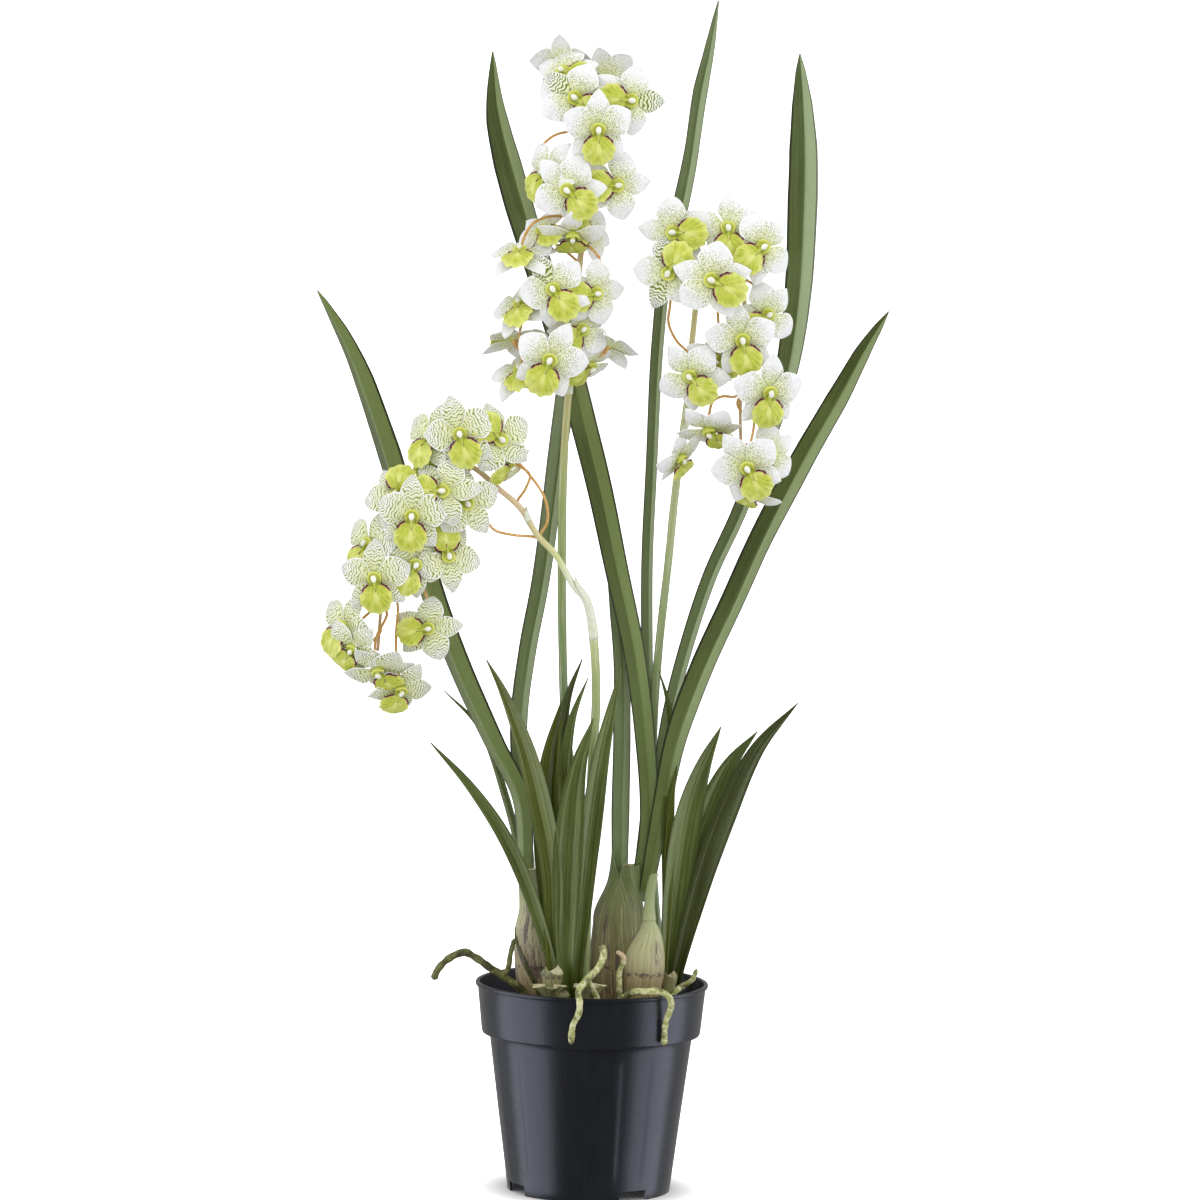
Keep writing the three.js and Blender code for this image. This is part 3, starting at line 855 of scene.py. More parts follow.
class Palette:
    """Every finish, made once and shared by the pieces."""

    def __init__(self) -> None:
        """Makes the materials."""
        self.plastic = PotPlastic().make()
        # Painted shade: the inside of the pot is the same plastic, made darker for the shade within it.
        self.inside = PlainSkin("pot_inside_painted_shade", *shades("0b0c0e", "16181a"), 0.7).make()
        self.bark = BarkChip().make()
        self._leaves()
        self._bulbs()
        self._roots()
        self._flowers()
        self._stems()

    def _leaves(self) -> None:
        """Makes the finishes of strap leaves and of the young grassy ones."""
        broad = {"veins": 14, "gloss": 0.36, "foot": 0.4}
        young = {"veins": 7, "gloss": 0.32, "foot": 0}
        green = shades("47561f", "35410f", "0e1204", "7f9152")
        grey = shades("536432", "3f4e20", "0f1405", "95a678")
        back = shades("5f6e42", "515e35", "252c12", "7c8a62")
        # The right half of these leaves is painted paler: painted light from the side.
        self.strap = StrapLeaf("strap_leaf", *green, painted_light_half=0.6, **broad).make()
        self.strap_grey = StrapLeaf("strap_leaf_grey", *grey, painted_light_half=0.64, **broad).make()
        self.strap_back = StrapLeaf("strap_leaf_back", *back, veins=14).make()
        green = shades("5c6b2a", "38430f", "3f4b18", "74863f")
        olive = shades("616a1c", "414a0d", "454e14", "727d30")
        dark = shades("3f4917", "282f0b", "2d3610", "525f2c")
        self.grass = StrapLeaf("grass_leaf", *green, lines=0.6, **young).make()
        self.grass_olive = StrapLeaf("grass_leaf_olive", *olive, lines=0.55, **young).make()
        self.grass_dark = StrapLeaf("grass_leaf_dark", *dark, lines=0.45, **young).make()

    def _bulbs(self) -> None:
        """Makes the sheaths of the three bulbs and of the cut stubs, and the cut edges."""
        looks = (
            ("left", {0: "957a4d", 0.3: "ab9d75", 0.55: "b2ae88", 0.8: "a3a77a", 1: "869060"}, 0.95),
            ("center", {0: "806b42", 0.25: "897a50", 0.5: "7c794b", 0.7: "737849", 0.95: "64723d"}, 0.5),
            ("right", {0: "987f50", 0.3: "a8966c", 0.4: "b3ae83", 0.62: "acb183", 0.9: "91a06b"}, 0.35),
        )
        self.sheaths = {}
        for key, codes, cover in looks:
            self.sheaths[key] = BulbSheath("bulb_sheath_" + key, ladder(codes), cover=cover).make()
        self.sheath_green = BulbSheath("sheath_green", ladder({0: "8d8c5c", 1: "8b9560"}), cover=0.3).make()
        self.rim = PlainSkin("sheath_rim", *shades("3d3d14", "55521f"), 0.5).make()
        self.cut = PlainSkin("cut_edge", *shades("d9d2b0", "b5b184"), 0.6).make()

    def _roots(self) -> None:
        """Makes the green, the dark and the pale skin of the roots."""
        self.root = RootSkin().make()
        self.root_dark = RootSkin("root_skin_dark", *shades("5a5f2e", "7d7a48", "33321c")).make()
        self.root_tip = PlainSkin("root_tip", *shades("d0bb98", "b79f78")).make()

    def _flowers(self) -> None:
        """Makes the finishes of the flowers and of their stalks and bracts."""
        self.amber = PlainSkin("flower_stalk", *shades("cf9a4c", "dfb776")).make()
        self.cap = PlainSkin("column_cap", *shades("f7f7ee", "e9ecd2"), 0.35).make()
        self.bract = PlainSkin("bract", *shades("dfe2cf", "d3d8ba"), 0.5).make()
        self.cup = CupSkin().make()
        self.lip = LipSkin().make()
        self.speckled = Tepal("tepal_speckled", 0, 0.43, 1.1, 0.95, dash=rgb("8e9c20")).make()
        self.banded = Tepal("tepal_banded", 14, 0.85, 1.25, 1.0, 0.74, 0.8, dash=rgb("869606")).make()
        self.zebra = Tepal("tepal_zebra", 13, 1.0, 1.5, 1.0, 0.5, 0.8, dash=rgb("6e8004")).make()

    def _stems(self) -> None:
        """Makes the stem colours of each spike, from the bark to the tip."""
        looks = {
            "center": {0: "5f7345", 0.35: "6f8452", 0.55: "9aa868", 0.72: "d9c98f", 1: "c9a985"},
            "right": {0: "6f8352", 0.36: "8c9c68", 0.5: "b3bb88", 0.66: "d6cf94", 1: "c9a985"},
            "left": {
                0: "87965c", 0.41: "a3af72", 0.45: "b9c28a", 0.465: "eceee0", 0.53: "e6e9d4", 0.56: "cdd391",
                0.64: "dcc49c", 1: "cda98c",
            },
        }
        self.stems = {key: StemSkin("stem_" + key, ladder(codes)).make() for key, codes in looks.items()}


# Pot and bark


@dataclass
class NurseryPot:
    """Thin-walled round pot: tapered body, flared collar, rolled rim and notches in the foot ring."""

    rim: float = 95.0
    height: float = 171.0
    lip: float = 3.0
    collar_top: float = 93.2
    collar_foot: float = 89.2
    collar: float = 42.0
    body_top: float = 83.0
    foot: float = 66.4
    wall: float = 1.6
    ground: float = 8.6
    base: float = 2.0
    notch_height: float = 8.2
    notch_half: float = 11.0
    notches: tuple[float, ...] = (-62.0, 34.0, 118.0, 214.0)
    flutes: tuple[float, ...] = (0.6, 0.15, 0.6, 0.6)
    sides: int = 240

    def _profile(self) -> tuple[list[tuple[float, float]], tuple[int, int, int]]:
        """Returns the wall's (radius, height) pairs, the rows the notches cut, and the first row inside."""
        foot, rim, wall, ground = self.foot, self.rim, self.wall, self.ground
        top, collar_top, collar_foot = self.height, self.collar_top, self.collar_foot
        step = top - self.collar
        inner = foot - wall
        rows = [(14.0, 0.6), (14.8, ground - 0.6), (15.4, ground), (inner - 0.6, ground)]
        cut = len(rows)
        rows += [(inner, self.notch_height), (inner, 0.2), (foot - 0.2, 0.0), (foot, 0.3)]
        cut_end = len(rows)
        slope = (self.body_top - foot) / step
        rows += [(foot + slope * z, z) for z in (self.notch_height, *np.linspace(12, step - 1.2, 26))]
        rows += [(self.body_top + 0.4, step - 0.3), (collar_foot - 1.4, step)]
        rows += [(collar_foot - 0.4, step + 0.35), (collar_foot, step + 1.3)]
        for t in np.linspace(0.08, 0.97, 8):
            rows.append((collar_foot + (collar_top - collar_foot) * t, step + (self.collar - self.lip) * t))
        rows += [(collar_top + 0.3, top - self.lip - 0.1), (rim - 0.5, top - self.lip)]
        rows += [(rim, top - self.lip + 0.6), (rim, top - 0.9), (rim - 0.35, top - 0.25)]
        rows += [(rim - 1.0, top), (collar_top - wall + 0.5, top - 0.1)]
        inside = len(rows)
        rows += [(collar_top - wall, top - 0.8), (collar_foot - wall, step + wall)]
        rows += [(self.body_top - wall, step + wall - 0.8), (inner + 1.4, ground + self.base + 6)]
        rows += [(inner + 0.2, ground + self.base)]
        return rows, (cut, cut_end, inside)

    def _flutes(self, points: np.ndarray, angle: np.ndarray) -> np.ndarray:
        """Presses a shallow flute into the body above each notch and waves the thin wall a little."""
        place = points.copy()
        radius = np.linalg.norm(points[..., :2], axis=-1)
        height = points[..., 2]
        seen = np.degrees(np.arctan2(np.cos(angle), np.sin(angle)))[None]
        step = self.height - self.collar
        wall = ease(self.foot - self.wall - 2, self.foot - self.wall - 1, radius)
        body = wall * ease(10, 22, height) * ease(step - 2, step - 18, height)
        push = np.zeros_like(radius)
        for notch, depth in zip(self.notches, self.flutes):
            off = (seen + notch - 90 + 180) % 360 - 180
            push += depth * body * ease(12.0, 8.5, np.abs(off))
        wave = 0.22 * np.sin(3 * angle + 1.1)[None] + 0.14 * np.sin(5 * angle + 0.3)[None]
        push += wall * ease(10, 80, height) * wave
        place[..., :2] *= ((radius - push) / np.maximum(radius, 1e-6))[..., None]
        return place

    def build(self, palette: Palette) -> None:
        """Makes the pot."""
        rows, (cut, cut_end, inside) = self._profile()
        count = self.sides
        angle, ring = circle(count)
        sketch = Sketch()
        first = sketch.add_points(self._flutes(turned_rings(rows, ring), angle))
        gap = np.zeros(count, bool)
        for notch in self.notches:
            middle = math.radians(notch - 90)
            off = np.degrees((angle + math.pi / count - middle + math.pi) % (2 * math.pi) - math.pi)
            gap |= np.abs(off) < self.notch_half
        spans = ((0, cut, 0, None), (cut, cut_end, 0, ~gap), (cut_end, inside, 0, None))
        # The rows from the rim inwards take slot 1, the darker inside finish, which is painted shade.
        for low, high, slot, keep in (*spans, (inside, len(rows) - 1, 1, None)):
            sketch.quads(first + low * count, high - low + 1, count, slot, True, keep=keep)
        edge = first + np.arange(cut, cut_end + 1) * count
        j = np.arange(count)
        k = (j + 1) % count
        walls = [np.stack([edge[0] + j, edge[0] + k, edge[-1] + k, edge[-1] + j], 1)[gap]]
        walls += [edge[None] + column for column in np.flatnonzero(gap & ~np.roll(gap, 1))]
        walls += [edge[None, ::-1] + k[column] for column in np.flatnonzero(gap & ~np.roll(gap, -1))]
        for faces in walls:
            sketch.add_faces(faces, np.zeros((faces.size, 2)), 0)
        sketch.cap(first, count, vec(0, 0, 0.6), False, 0)
        sketch.cap(first + (len(rows) - 1) * count, count, vec(0, 0, self.ground + self.base), True, 0)
        pot = sketch.build("nursery_pot_shell", [palette.plastic, palette.inside], sharp=50)
        place_piece(pot, ["nursery_pot"])


@dataclass
class BarkMedium:
    """Bark that fills the pot: a domed, crumbly mass with loose chips on top."""

    edge: float = 87.2
    edge_height: float = 147.0
    crown_height: float = 151.0
    foot_radius: float = 64.2
    foot: float = 11.0
    chips: int = 420
    chip_size: tuple[float, float] = (3.0, 8.5)
    seed: int = 11

    def _mass(self, sketch: Sketch) -> None:
        """Adds the filling, rough on top."""
        collar = 127.0
        profile = [(0.0, self.foot), (self.foot_radius, self.foot), (80.6, collar), (86.0, collar + 2.6)]
        profile.append((self.edge, self.edge_height - 1))
        for share in np.linspace(0.97, 0.04, 34):
            rise = (self.crown_height - self.edge_height) * (1 - share**2)
            profile.append((self.edge * share, self.edge_height + rise))
        profile.append((0.0, self.crown_height))

        def crumble(points: np.ndarray, angle: np.ndarray) -> np.ndarray:
            """Lifts and sinks the top by noise."""
            moved = points.copy()
            for index in np.argwhere(points[..., 2] >= self.edge_height):
                spot = points[tuple(index)]
                moved[tuple(index)][2] += 1.6 * field_noise.fractal(Vector(spot) * 0.13, 0.8, 2.1, 3)
            return moved

        sketch.turned(profile, 120, shape=crumble)

    def _chip(self, sketch: Sketch, spot: np.ndarray, size: float, dice: random.Random) -> None:
        """Adds one angular chip, a lump with a few flattened sides."""
        rows, cols = 5, 7
        spin = Quaternion((0, 0, 1), dice.uniform(0, 6.3))
        turn = np.array((spin @ Quaternion((1, 0, 0), dice.gauss(0, 0.35))).to_matrix())
        flat = dice.uniform(0.3, 0.55)
        long = dice.uniform(1.0, 1.5)
        polar = np.linspace(0, np.pi, rows)[1:-1]
        _, ring = circle(cols)
        ring = turned_rings(list(zip(np.sin(polar), -np.cos(polar))), ring)
        ring = np.sign(ring) * np.abs(ring) ** 0.7
        jitter = np.array([[dice.uniform(0.75, 1.15) for _ in range(cols)] for _ in range(rows - 2)])
        points = ring * jitter[..., None] * np.array([long, 1.0, flat]) * size / 2
        low, high = vec(0, 0, -flat * size / 2), vec(0, 0, flat * size / 2)
        sketch.solid(points @ turn.T + spot, turn @ low + spot, turn @ high + spot)

    def build(self, palette: Palette) -> None:
        """Makes the bark."""
        dice = random.Random(self.seed)
        sketch = Sketch()
        self._mass(sketch)
        for _ in range(self.chips):
            radius = (self.edge - 4) * math.sqrt(dice.random())
            angle = dice.uniform(0, 2 * math.pi)
            size = dice.uniform(*self.chip_size)
            dome = (self.crown_height - self.edge_height) * (1 - (radius / self.edge) ** 2)
            height = self.edge_height + dome
            spot = vec(radius * math.cos(angle), radius * math.sin(angle), height + 0.12 * size)
            self._chip(sketch, spot, size, dice)
        place_piece(sketch.build("bark_filling", [palette.bark], 35), ["bark_medium"])


# Pseudobulbs


BodyRow = tuple[float, float, float, float]
SheathRow = tuple[float, float, float, float, float, float]


@dataclass(frozen=True)
class Bulb:
    """One pseudobulb and the sheaths around it.

    Attributes:
        node: The CAD node it replaces.
        tone: Name of its sheath finish.
        body: Rows of (height, X, Y, radius) from the bark to the neck.
        sheaths: For each sheath the finish slots of its outside and inside, and rows of (height, X, Y,
            radius, first angle, last angle); angles are in degrees from the viewer's side to the right.
    """

    node: str
    tone: str
    body: tuple[BodyRow, ...]
    sheaths: tuple[tuple[int, int, tuple[SheathRow, ...]], ...]


BULBS = (
    Bulb("pseudobulb_left", "left",
        ((146, -41.8, 5, 14.4), (160, -42, 5, 16.8), (180, -43.2, 5, 18.5), (196, -44.8, 5, 17.9),
         (215, -47.1, 5, 15.2), (228, -47.5, 5, 12.2), (239, -49.4, 5.5, 10.3), (250, -51.4, 6, 8.8),
         (262, -53.6, 6.5, 7)),
        (
            (0, 0, ((148, -41.9, 5, 15.6, -170, 16), (160, -42, 5, 17.8, -170, 2),
                    (174, -42.9, 5, 19.2, -170, -14), (186, -43.7, 5, 19.4, -170, -31),
                    (197, -44.9, 5, 18.8, -170, -49), (206, -46, 5, 17.6, -170, -66),
                    (213, -46.9, 5, 16.4, -170, -82), (217, -47.2, 5, 15.6, -170, -105))),
            (2, 2, ((149, -41.9, 5, 16.2, 9, 18), (160, -42, 5, 18.4, -5, 4),
                    (174, -42.9, 5, 19.9, -21, -12), (186, -43.7, 5, 20.1, -39, -29),
                    (197, -44.9, 5, 19.5, -58, -47), (206, -46, 5, 18.2, -76, -64),
                    (214, -46.9, 5, 16.7, -92, -84))),
            (0, 0, ((200, -45.4, 5, 17.9, -130, 130), (215, -47.1, 5, 15.9, -130, 130),
                    (228, -47.5, 5, 13, -130, 130), (239, -49.4, 5.5, 11.1, -130, 120),
                    (250, -51.4, 6, 9.7, -125, 80), (259, -53, 6.3, 8.8, -120, 20),
                    (268, -55, 6.5, 8, -110, -50))),
        ),
    ),
    Bulb("pseudobulb_center", "center",
        ((146, 21.6, 15, 17.5), (163, 21.4, 15, 20.2), (180, 20.8, 15, 21.7), (199, 21, 15, 21.3),
         (216, 20.4, 15, 19.2), (227, 20.8, 15, 18.4), (236, 22.3, 15, 15.4), (243, 23.2, 15, 12.6),
         (250, 24.5, 15, 10), (256, 25, 15, 7)),
        (
            (0, 0, ((156, 21.4, 15, 20.1, -125, 12), (180, 20.8, 15, 22.6, -125, 10),
                    (199, 21, 15, 22.3, -120, 8), (216, 20.4, 15, 20.4, -115, 5),
                    (227, 20.8, 15, 19.8, -110, 3), (236, 21.4, 16, 16.9, -105, 8),
                    (243, 21.7, 17.5, 13.7, -100, 14), (250, 21.8, 18.8, 10.9, -98, 14),
                    (258, 21.9, 19.4, 9.3, -96, -8), (268, 22, 19.8, 8.2, -94, -45),
                    (278, 22, 20.2, 7.4, -92, -76))),
            (0, 1, ((186, 20.9, 15, 23.1, -3, 150), (199, 21, 15, 23, -4, 150),
                    (216, 20.4, 15, 21, -5, 150), (227, 20.7, 14.8, 20.3, -6, 150),
                    (236, 23.4, 14, 16.3, -17, 155), (243, 26.6, 13, 11.4, -45, 165),
                    (250, 28.4, 12.2, 9.4, -85, 180), (258, 29.2, 12.2, 8.3, -130, 190),
                    (266, 29.8, 12.4, 7.4, -155, 200))),
        ),
    ),
    Bulb("pseudobulb_right", "right",
        ((146, 41.1, -25, 12.5), (160, 41, -25, 14.2), (170, 41.1, -25, 15.2), (181, 41.8, -25, 16.4),
         (191, 42.3, -25, 16.5), (202, 43.3, -25, 14.6), (210, 45, -24.6, 11.6), (217, 46.2, -24.4, 8.6),
         (225, 45.4, -24.2, 5.3), (234, 45.5, -24, 3.8), (244, 45.6, -23.6, 3.4)),
        (
            (0, 1, ((226, 45.4, -24.2, 5.4, -160, 190), (236, 45.5, -24, 4.3, -155, 190),
                    (246, 45.8, -23.6, 4, -140, 185), (255, 47.2, -23.2, 3.6, -110, 170),
                    (264, 48.4, -23, 3.2, -40, 150))),
        ),
    ),
)


@dataclass
class Pseudobulbs:
    """Three pseudobulbs wrapped in leaf sheaths; the centre one also carries a cut sheath tube."""

    depth: float = 0.94
    bulbs: tuple[Bulb, ...] = BULBS

    def _rings(self, rows: Sequence[Sequence[float]], count: int, cols: int) -> np.ndarray:
        """Returns points around a bulb, rows from the bark up; rows without angles go all the way round."""
        known = np.array(rows, float)
        height = np.linspace(known[0, 0], known[-1, 0], count)
        flow = flowing(known[:, 0], known[:, 1:], height)
        if known.shape[1] == 4:
            turn = np.broadcast_to(np.linspace(0, 2 * np.pi, cols, endpoint=False)[None], (count, cols))
        else:
            turn = np.radians(flow[:, 3:4] + (flow[:, 4:5] - flow[:, 3:4]) * np.linspace(0, 1, cols)[None])
        ridges = 0.16 * np.sin(19 * turn) + 0.12 * np.sin(31 * turn + 1)
        radius = flow[:, 2:3] + ridges * np.clip(flow[:, 2:3] / 12, 0, 1)
        x = flow[:, 0:1] + radius * np.sin(turn)
        y = flow[:, 1:2] - self.depth * radius * np.cos(turn)
        return np.stack([x, y, np.broadcast_to(height[:, None], x.shape)], -1)

    def _one(self, bulb: Bulb, palette: Palette) -> None:
        """Makes one bulb."""
        sketch = Sketch()
        body = self._rings(bulb.body, 60, 96)
        sketch.solid(body, body[0].mean(0), body[-1].mean(0), 0, 1)
        for outside, inside, stops in bulb.sheaths:
            sketch.sheet(self._rings(stops, 50, 44), 0.7, outside, inside)
            start, end = stops[0][4] / 360, stops[0][5] / 360
            for number in (-3, -2, -1):
                sketch.corners[number] = sketch.corners[number] * vec(end - start, 1) + vec(start, 0)
        finishes = [palette.sheaths[bulb.tone], palette.cut, palette.rim]
        place_piece(sketch.build(bulb.node + "_body", finishes, 60), [bulb.node])

    def build(self, palette: Palette) -> None:
        """Makes every bulb."""
        for bulb in self.bulbs:
            self._one(bulb, palette)


# Leaves


class Fold(Enum):
    """Which way a folded blade's section points, seen from the viewer's side."""

    CHANNEL = 1.0
    KEEL = -1.0


@dataclass(frozen=True)
class Blade:
    """A leaf blade along a midrib.

    Attributes:
        path: The midrib, from base to tip.
        widths: (share of the length, full width) stops.
        turns: (share, degrees) stops: how far the blade faces to the viewer's right.
        bends: (share, degrees) stops: how far each half folds.
        fold: Which way the section points.
        ribs: How many ribs run along the blade.
        rib_height: How far the ribs stand out.
    """

    path: tuple[Place, ...]
    widths: Stops
    turns: Stops = ((0.0, 0.0), (1.0, 0.0))
    bends: Stops = ((0.0, 38.0), (1.0, 26.0))
    fold: Fold = Fold.KEEL
    ribs: int = 0
    rib_height: float = 0.0

    def surface(self, rows: int, cols: int) -> np.ndarray:
        """Returns the blade's middle surface, rows from base to tip and columns from left to right."""
        path = smooth_path(self.path, rows)
        share = np.linspace(0, 1, rows)
        way = tangents(path)
        view = vec(0, -1, 0)
        face = unit(view - way * (way @ view)[:, None])
        side = np.cross(way, face)
        turn = np.radians(along(self.turns, share))[:, None]
        normal = face * np.cos(turn) + side * np.sin(turn)
        lateral = side * np.cos(turn) - face * np.sin(turn)
        bend = np.radians(along(self.bends, share))[:, None]
        half = np.interp(share, [w[0] for w in self.widths], [w[1] for w in self.widths])[:, None] / 2
        s = np.linspace(-1, 1, cols)[None]
        soft = np.sqrt(s**2 + 0.012) - math.sqrt(0.012)
        reach = half * s * np.cos(bend)
        depth = self.fold.value * half * soft * np.sin(bend)
        if self.ribs:
            depth = depth + self.rib_height * np.cos(np.pi * self.ribs * s) * np.clip(half / 4, 0, 1)
        return path[:, None] + lateral[:, None] * reach[..., None] + normal[:, None] * depth[..., None]


def tip_widths(base: float, full: float, tip: float = 0.8, taper: float = 0.82) -> Stops:
    """Returns width stops of a strap leaf.

    Args:
        base: Width where it leaves the bulb.
        full: Greatest width.
        tip: Width left at the very tip.
        taper: Share of the length where it begins to narrow.
    """
    stops = [(at, base + share * (full - base)) for at, share in ((0.0, 0.0), (0.12, 0.35), (0.3, 0.75))]
    stops.append((0.5, full))
    for share in np.linspace(0, 1, 9):
        stops.append((taper + (1 - taper) * share, tip + (full - tip) * (1 - share**1.7)))
    return tuple(stops)


LEAVES = (
    ("long_leaf_outer_left", "green", Blade(
        ((-56, 6, 252), (-62, 9, 318), (-85, 12, 362), (-111, 16, 415), (-133, 22, 467), (-157, 28, 536),
         (-181, 32, 609), (-205, 34, 674), (-223, 34, 710), (-234, 34, 730)),
        ((0, 14), (0.12, 19), (0.3, 25), (0.5, 28), (0.72, 28), (0.84, 24), (0.93, 15), (0.98, 6),
         (1, 0.8)),
        ((0, -4), (0.2, -24), (1, -29)),
        ((0, 38), (1, 39)),
    )),
    ("long_leaf_inner_left", "grey", Blade(
        ((-52, 12, 252), (-59, 20, 317), (-62, 26, 382), (-56, 34, 438), (-46, 42, 496), (-32, 58, 618),
         (-20, 64, 724)),
        ((0, 14), (0.25, 19), (0.5, 21), (0.7, 24), (0.85, 25), (0.94, 16), (1, 1)),
        ((0, 22), (0.4, 20), (0.7, 16), (1, 12)),
        ((0, 36), (0.4, 42), (0.7, 50), (1, 50)),
    )),
    ("long_leaf_center_short", "grey", Blade(
        ((22, 18, 250), (22, 24, 318), (22, 28, 375), (20, 34, 432), (5, 42, 540)),
        ((0, 17), (0.2, 20), (0.5, 19), (0.75, 15), (0.92, 8), (1, 1)),
        ((0, 14), (1, 16)),
        ((0, 42), (1, 44)),
    )),
    ("long_leaf_center_left", "green", Blade(
        ((35, 13, 236), (44, 14, 300), (39, 18, 376), (29, 22, 442), (14, 28, 506), (-1, 36, 571),
         (-16, 44, 627), (-36, 52, 700), (-57, 56, 765), (-75, 58, 822), (-90, 58, 878), (-95, 56, 926)),
        ((0, 15), (0.15, 17), (0.35, 19.5), (0.55, 22), (0.72, 27), (0.82, 30), (0.87, 29), (0.92, 23),
         (0.96, 13), (0.985, 6), (1, 0.8)),
        ((0, 6), (0.3, 4), (0.5, 0), (0.7, 16), (0.8, 23), (1, 24)),
        ((0, 28), (0.3, 20), (0.5, 13), (0.72, 30), (0.8, 34), (1, 32)),
    )),
    ("long_leaf_center_tall", "grey", Blade(
        ((36, 25, 246), (43, 30, 317), (43, 32, 383), (41, 36, 448), (40, 40, 514), (42, 44, 587),
         (45, 48, 685), (51, 50, 751), (62, 52, 804), (68, 52, 839), (75, 50, 894), (82, 48, 931),
         (88, 44, 971)),
        ((0, 11), (0.2, 13.5), (0.5, 13.5), (0.65, 15), (0.76, 19), (0.84, 14.5), (0.9, 15), (0.95, 10),
         (0.98, 5), (1, 0.8)),
        ((0, 20), (0.7, 20), (0.86, 8), (1, 14)),
        ((0, 45), (0.7, 45), (0.88, 38), (1, 40)),
    )),
    ("long_leaf_right_upright", "grey", Blade(
        ((40, 17, 246), (52, 24, 335), (61, 28, 392), (75, 34, 449), (92, 40, 502), (114, 46, 552),
         (136, 50, 613), (151, 52, 671), (159, 54, 736), (161, 54, 794), (161, 52, 843), (159, 50, 883),
         (155, 46, 929)),
        ((0, 12), (0.2, 15.5), (0.45, 17), (0.62, 22), (0.74, 26), (0.83, 28), (0.89, 26), (0.94, 19),
         (0.98, 9), (1, 0.8)),
        ((0, 20), (0.5, 18), (0.68, 12), (1, 12)),
        ((0, 44), (0.5, 42), (0.7, 27), (1, 25)),
    )),
    ("long_leaf_right_arching", "green", Blade(
        ((43, 8, 244), (56, 8, 320), (66, 6, 370), (86, 6, 428), (111, 8, 485), (136, 10, 543),
         (164, 14, 600), (193, 18, 653), (213, 20, 692), (231, 22, 722)),
        ((0, 13), (0.15, 18), (0.3, 24), (0.55, 25), (0.7, 23), (0.84, 20.5), (0.92, 15), (0.97, 8),
         (1, 0.8)),
        ((0, 10), (0.3, 22), (0.55, 24), (0.72, 13), (1, 10)),
        ((0, 28), (0.55, 31), (0.72, 26), (1, 25)),
    )),
)


@dataclass
class StrapLeaves:
    """Seven long strap leaves: the CAD node, the tone of the front and the blade of each."""

    leaves: tuple[tuple[str, str, Blade], ...] = LEAVES
    rows: int = 150
    cols: int = 17
    thickness: float = 1.1

    def build(self, palette: Palette) -> None:
        """Makes the leaves."""
        for node, tone, blade in self.leaves:
            sketch = Sketch()
            sketch.sheet(blade.surface(self.rows, self.cols), self.thickness, 0, 1)
            front = palette.strap_grey if tone == "grey" else palette.strap
            place_piece(sketch.build(node + "_blade", [front, palette.strap_back], 70), [node])


Young = tuple[str, float, float, tuple[Place, ...]]
TUFTS: tuple[tuple[str, tuple[Young, ...]], ...] = (
    ("leaf_tuft_left", (
        ("green", 11, -20, ((-18, -36, 150), (-26, -38, 173), (-52, -40, 251), (-73, -44, 296),
                            (-102, -48, 337), (-134, -50, 371))),
        ("olive", 18, -25, ((-20, -37, 150), (-29, -38, 173), (-33, -42, 268), (-44, -44, 325),
                            (-57, -46, 370), (-76, -48, 414), (-90, -48, 439))),
        ("dark", 13, 20, ((-12, -28, 150), (-14, -26, 172), (-28, -26, 258), (-32, -24, 339),
                          (-25, -22, 404), (-13, -22, 438))),
        ("green", 11, -10, ((-11, -31, 150), (-12, -30, 172), (-23, -30, 258), (-26, -28, 332),
                            (-20, -27, 389), (-8, -27, 423))),
        ("olive", 23, -8, ((-14, -30, 150), (-18, -28, 172), (-31, -27, 241), (-36, -26, 307),
                           (-36, -24, 355), (-29, -22, 404))),
        ("green", 20, 0, ((-14, -38, 150), (-20, -40, 174), (-22, -44, 244), (-20, -48, 310),
                          (-15, -50, 351), (-3, -50, 393))),
        ("green", 15, 14, ((-10, -34, 150), (-13, -36, 177), (-9, -38, 243), (-4, -38, 301),
                           (3, -38, 358), (11, -36, 398), (19, -34, 433))),
    )),
    ("leaf_tuft_right", (
        ("green", 22, 18, ((61, 12, 150), (62, 12, 167), (67, 8, 246), (76, 4, 313), (87, 0, 351),
                           (101, -4, 383))),
        ("green", 20, 8, ((64, 14, 150), (65, 14, 167), (75, 14, 246), (91, 14, 308), (109, 12, 350),
                          (131, 10, 378))),
        ("dark", 16, -10, ((66, 11, 150), (69, 10, 172), (84, 6, 239), (105, 0, 306), (131, -6, 365),
                           (163, -10, 404))),
        ("green", 8, 0, ((59, 9, 150), (60, 6, 238), (59, 8, 308), (62, 12, 353), (58, 16, 398),
                         (50, 20, 425))),
        ("olive", 8, 15, ((57, 6, 150), (60, 4, 239), (61, 2, 297), (64, 0, 342))),
    )),
)


@dataclass
class LeafTufts:
    """Two tufts of young leaves: the CAD node of each, and its leaves' tones, widths, turns and midribs."""

    tufts: tuple[tuple[str, tuple[Young, ...]], ...] = TUFTS
    rows: int = 90
    cols: int = 15
    thickness: float = 0.8

    def build(self, palette: Palette) -> None:
        """Makes the tufts."""
        tones = {"green": 0, "olive": 1, "dark": 2}
        for node, blades in self.tufts:
            sketch = Sketch()
            for tone, width, turn, path in blades:
                widths = tip_widths(width * 0.55, width * 1.3, 0.6, 0.55)
                bends = ((0, 44), (0.4, 24), (1, 16))
                blade = Blade(path, widths, ((0, turn), (1, turn * 1.3)), bends, Fold.CHANNEL, 3, 0.35)
                sketch.sheet(blade.surface(self.rows, self.cols), self.thickness, tones[tone], tones[tone])
            finishes = [palette.grass, palette.grass_olive, palette.grass_dark]
            place_piece(sketch.build(node + "_blades", finishes, 70), [node])


# Roots


@dataclass(frozen=True)
class RootRun:
    """One root: radius at its start and at its end, its path, and its finish slot."""

    radius: float
    end: float
    path: tuple[Place, ...]
    finish: int = 0


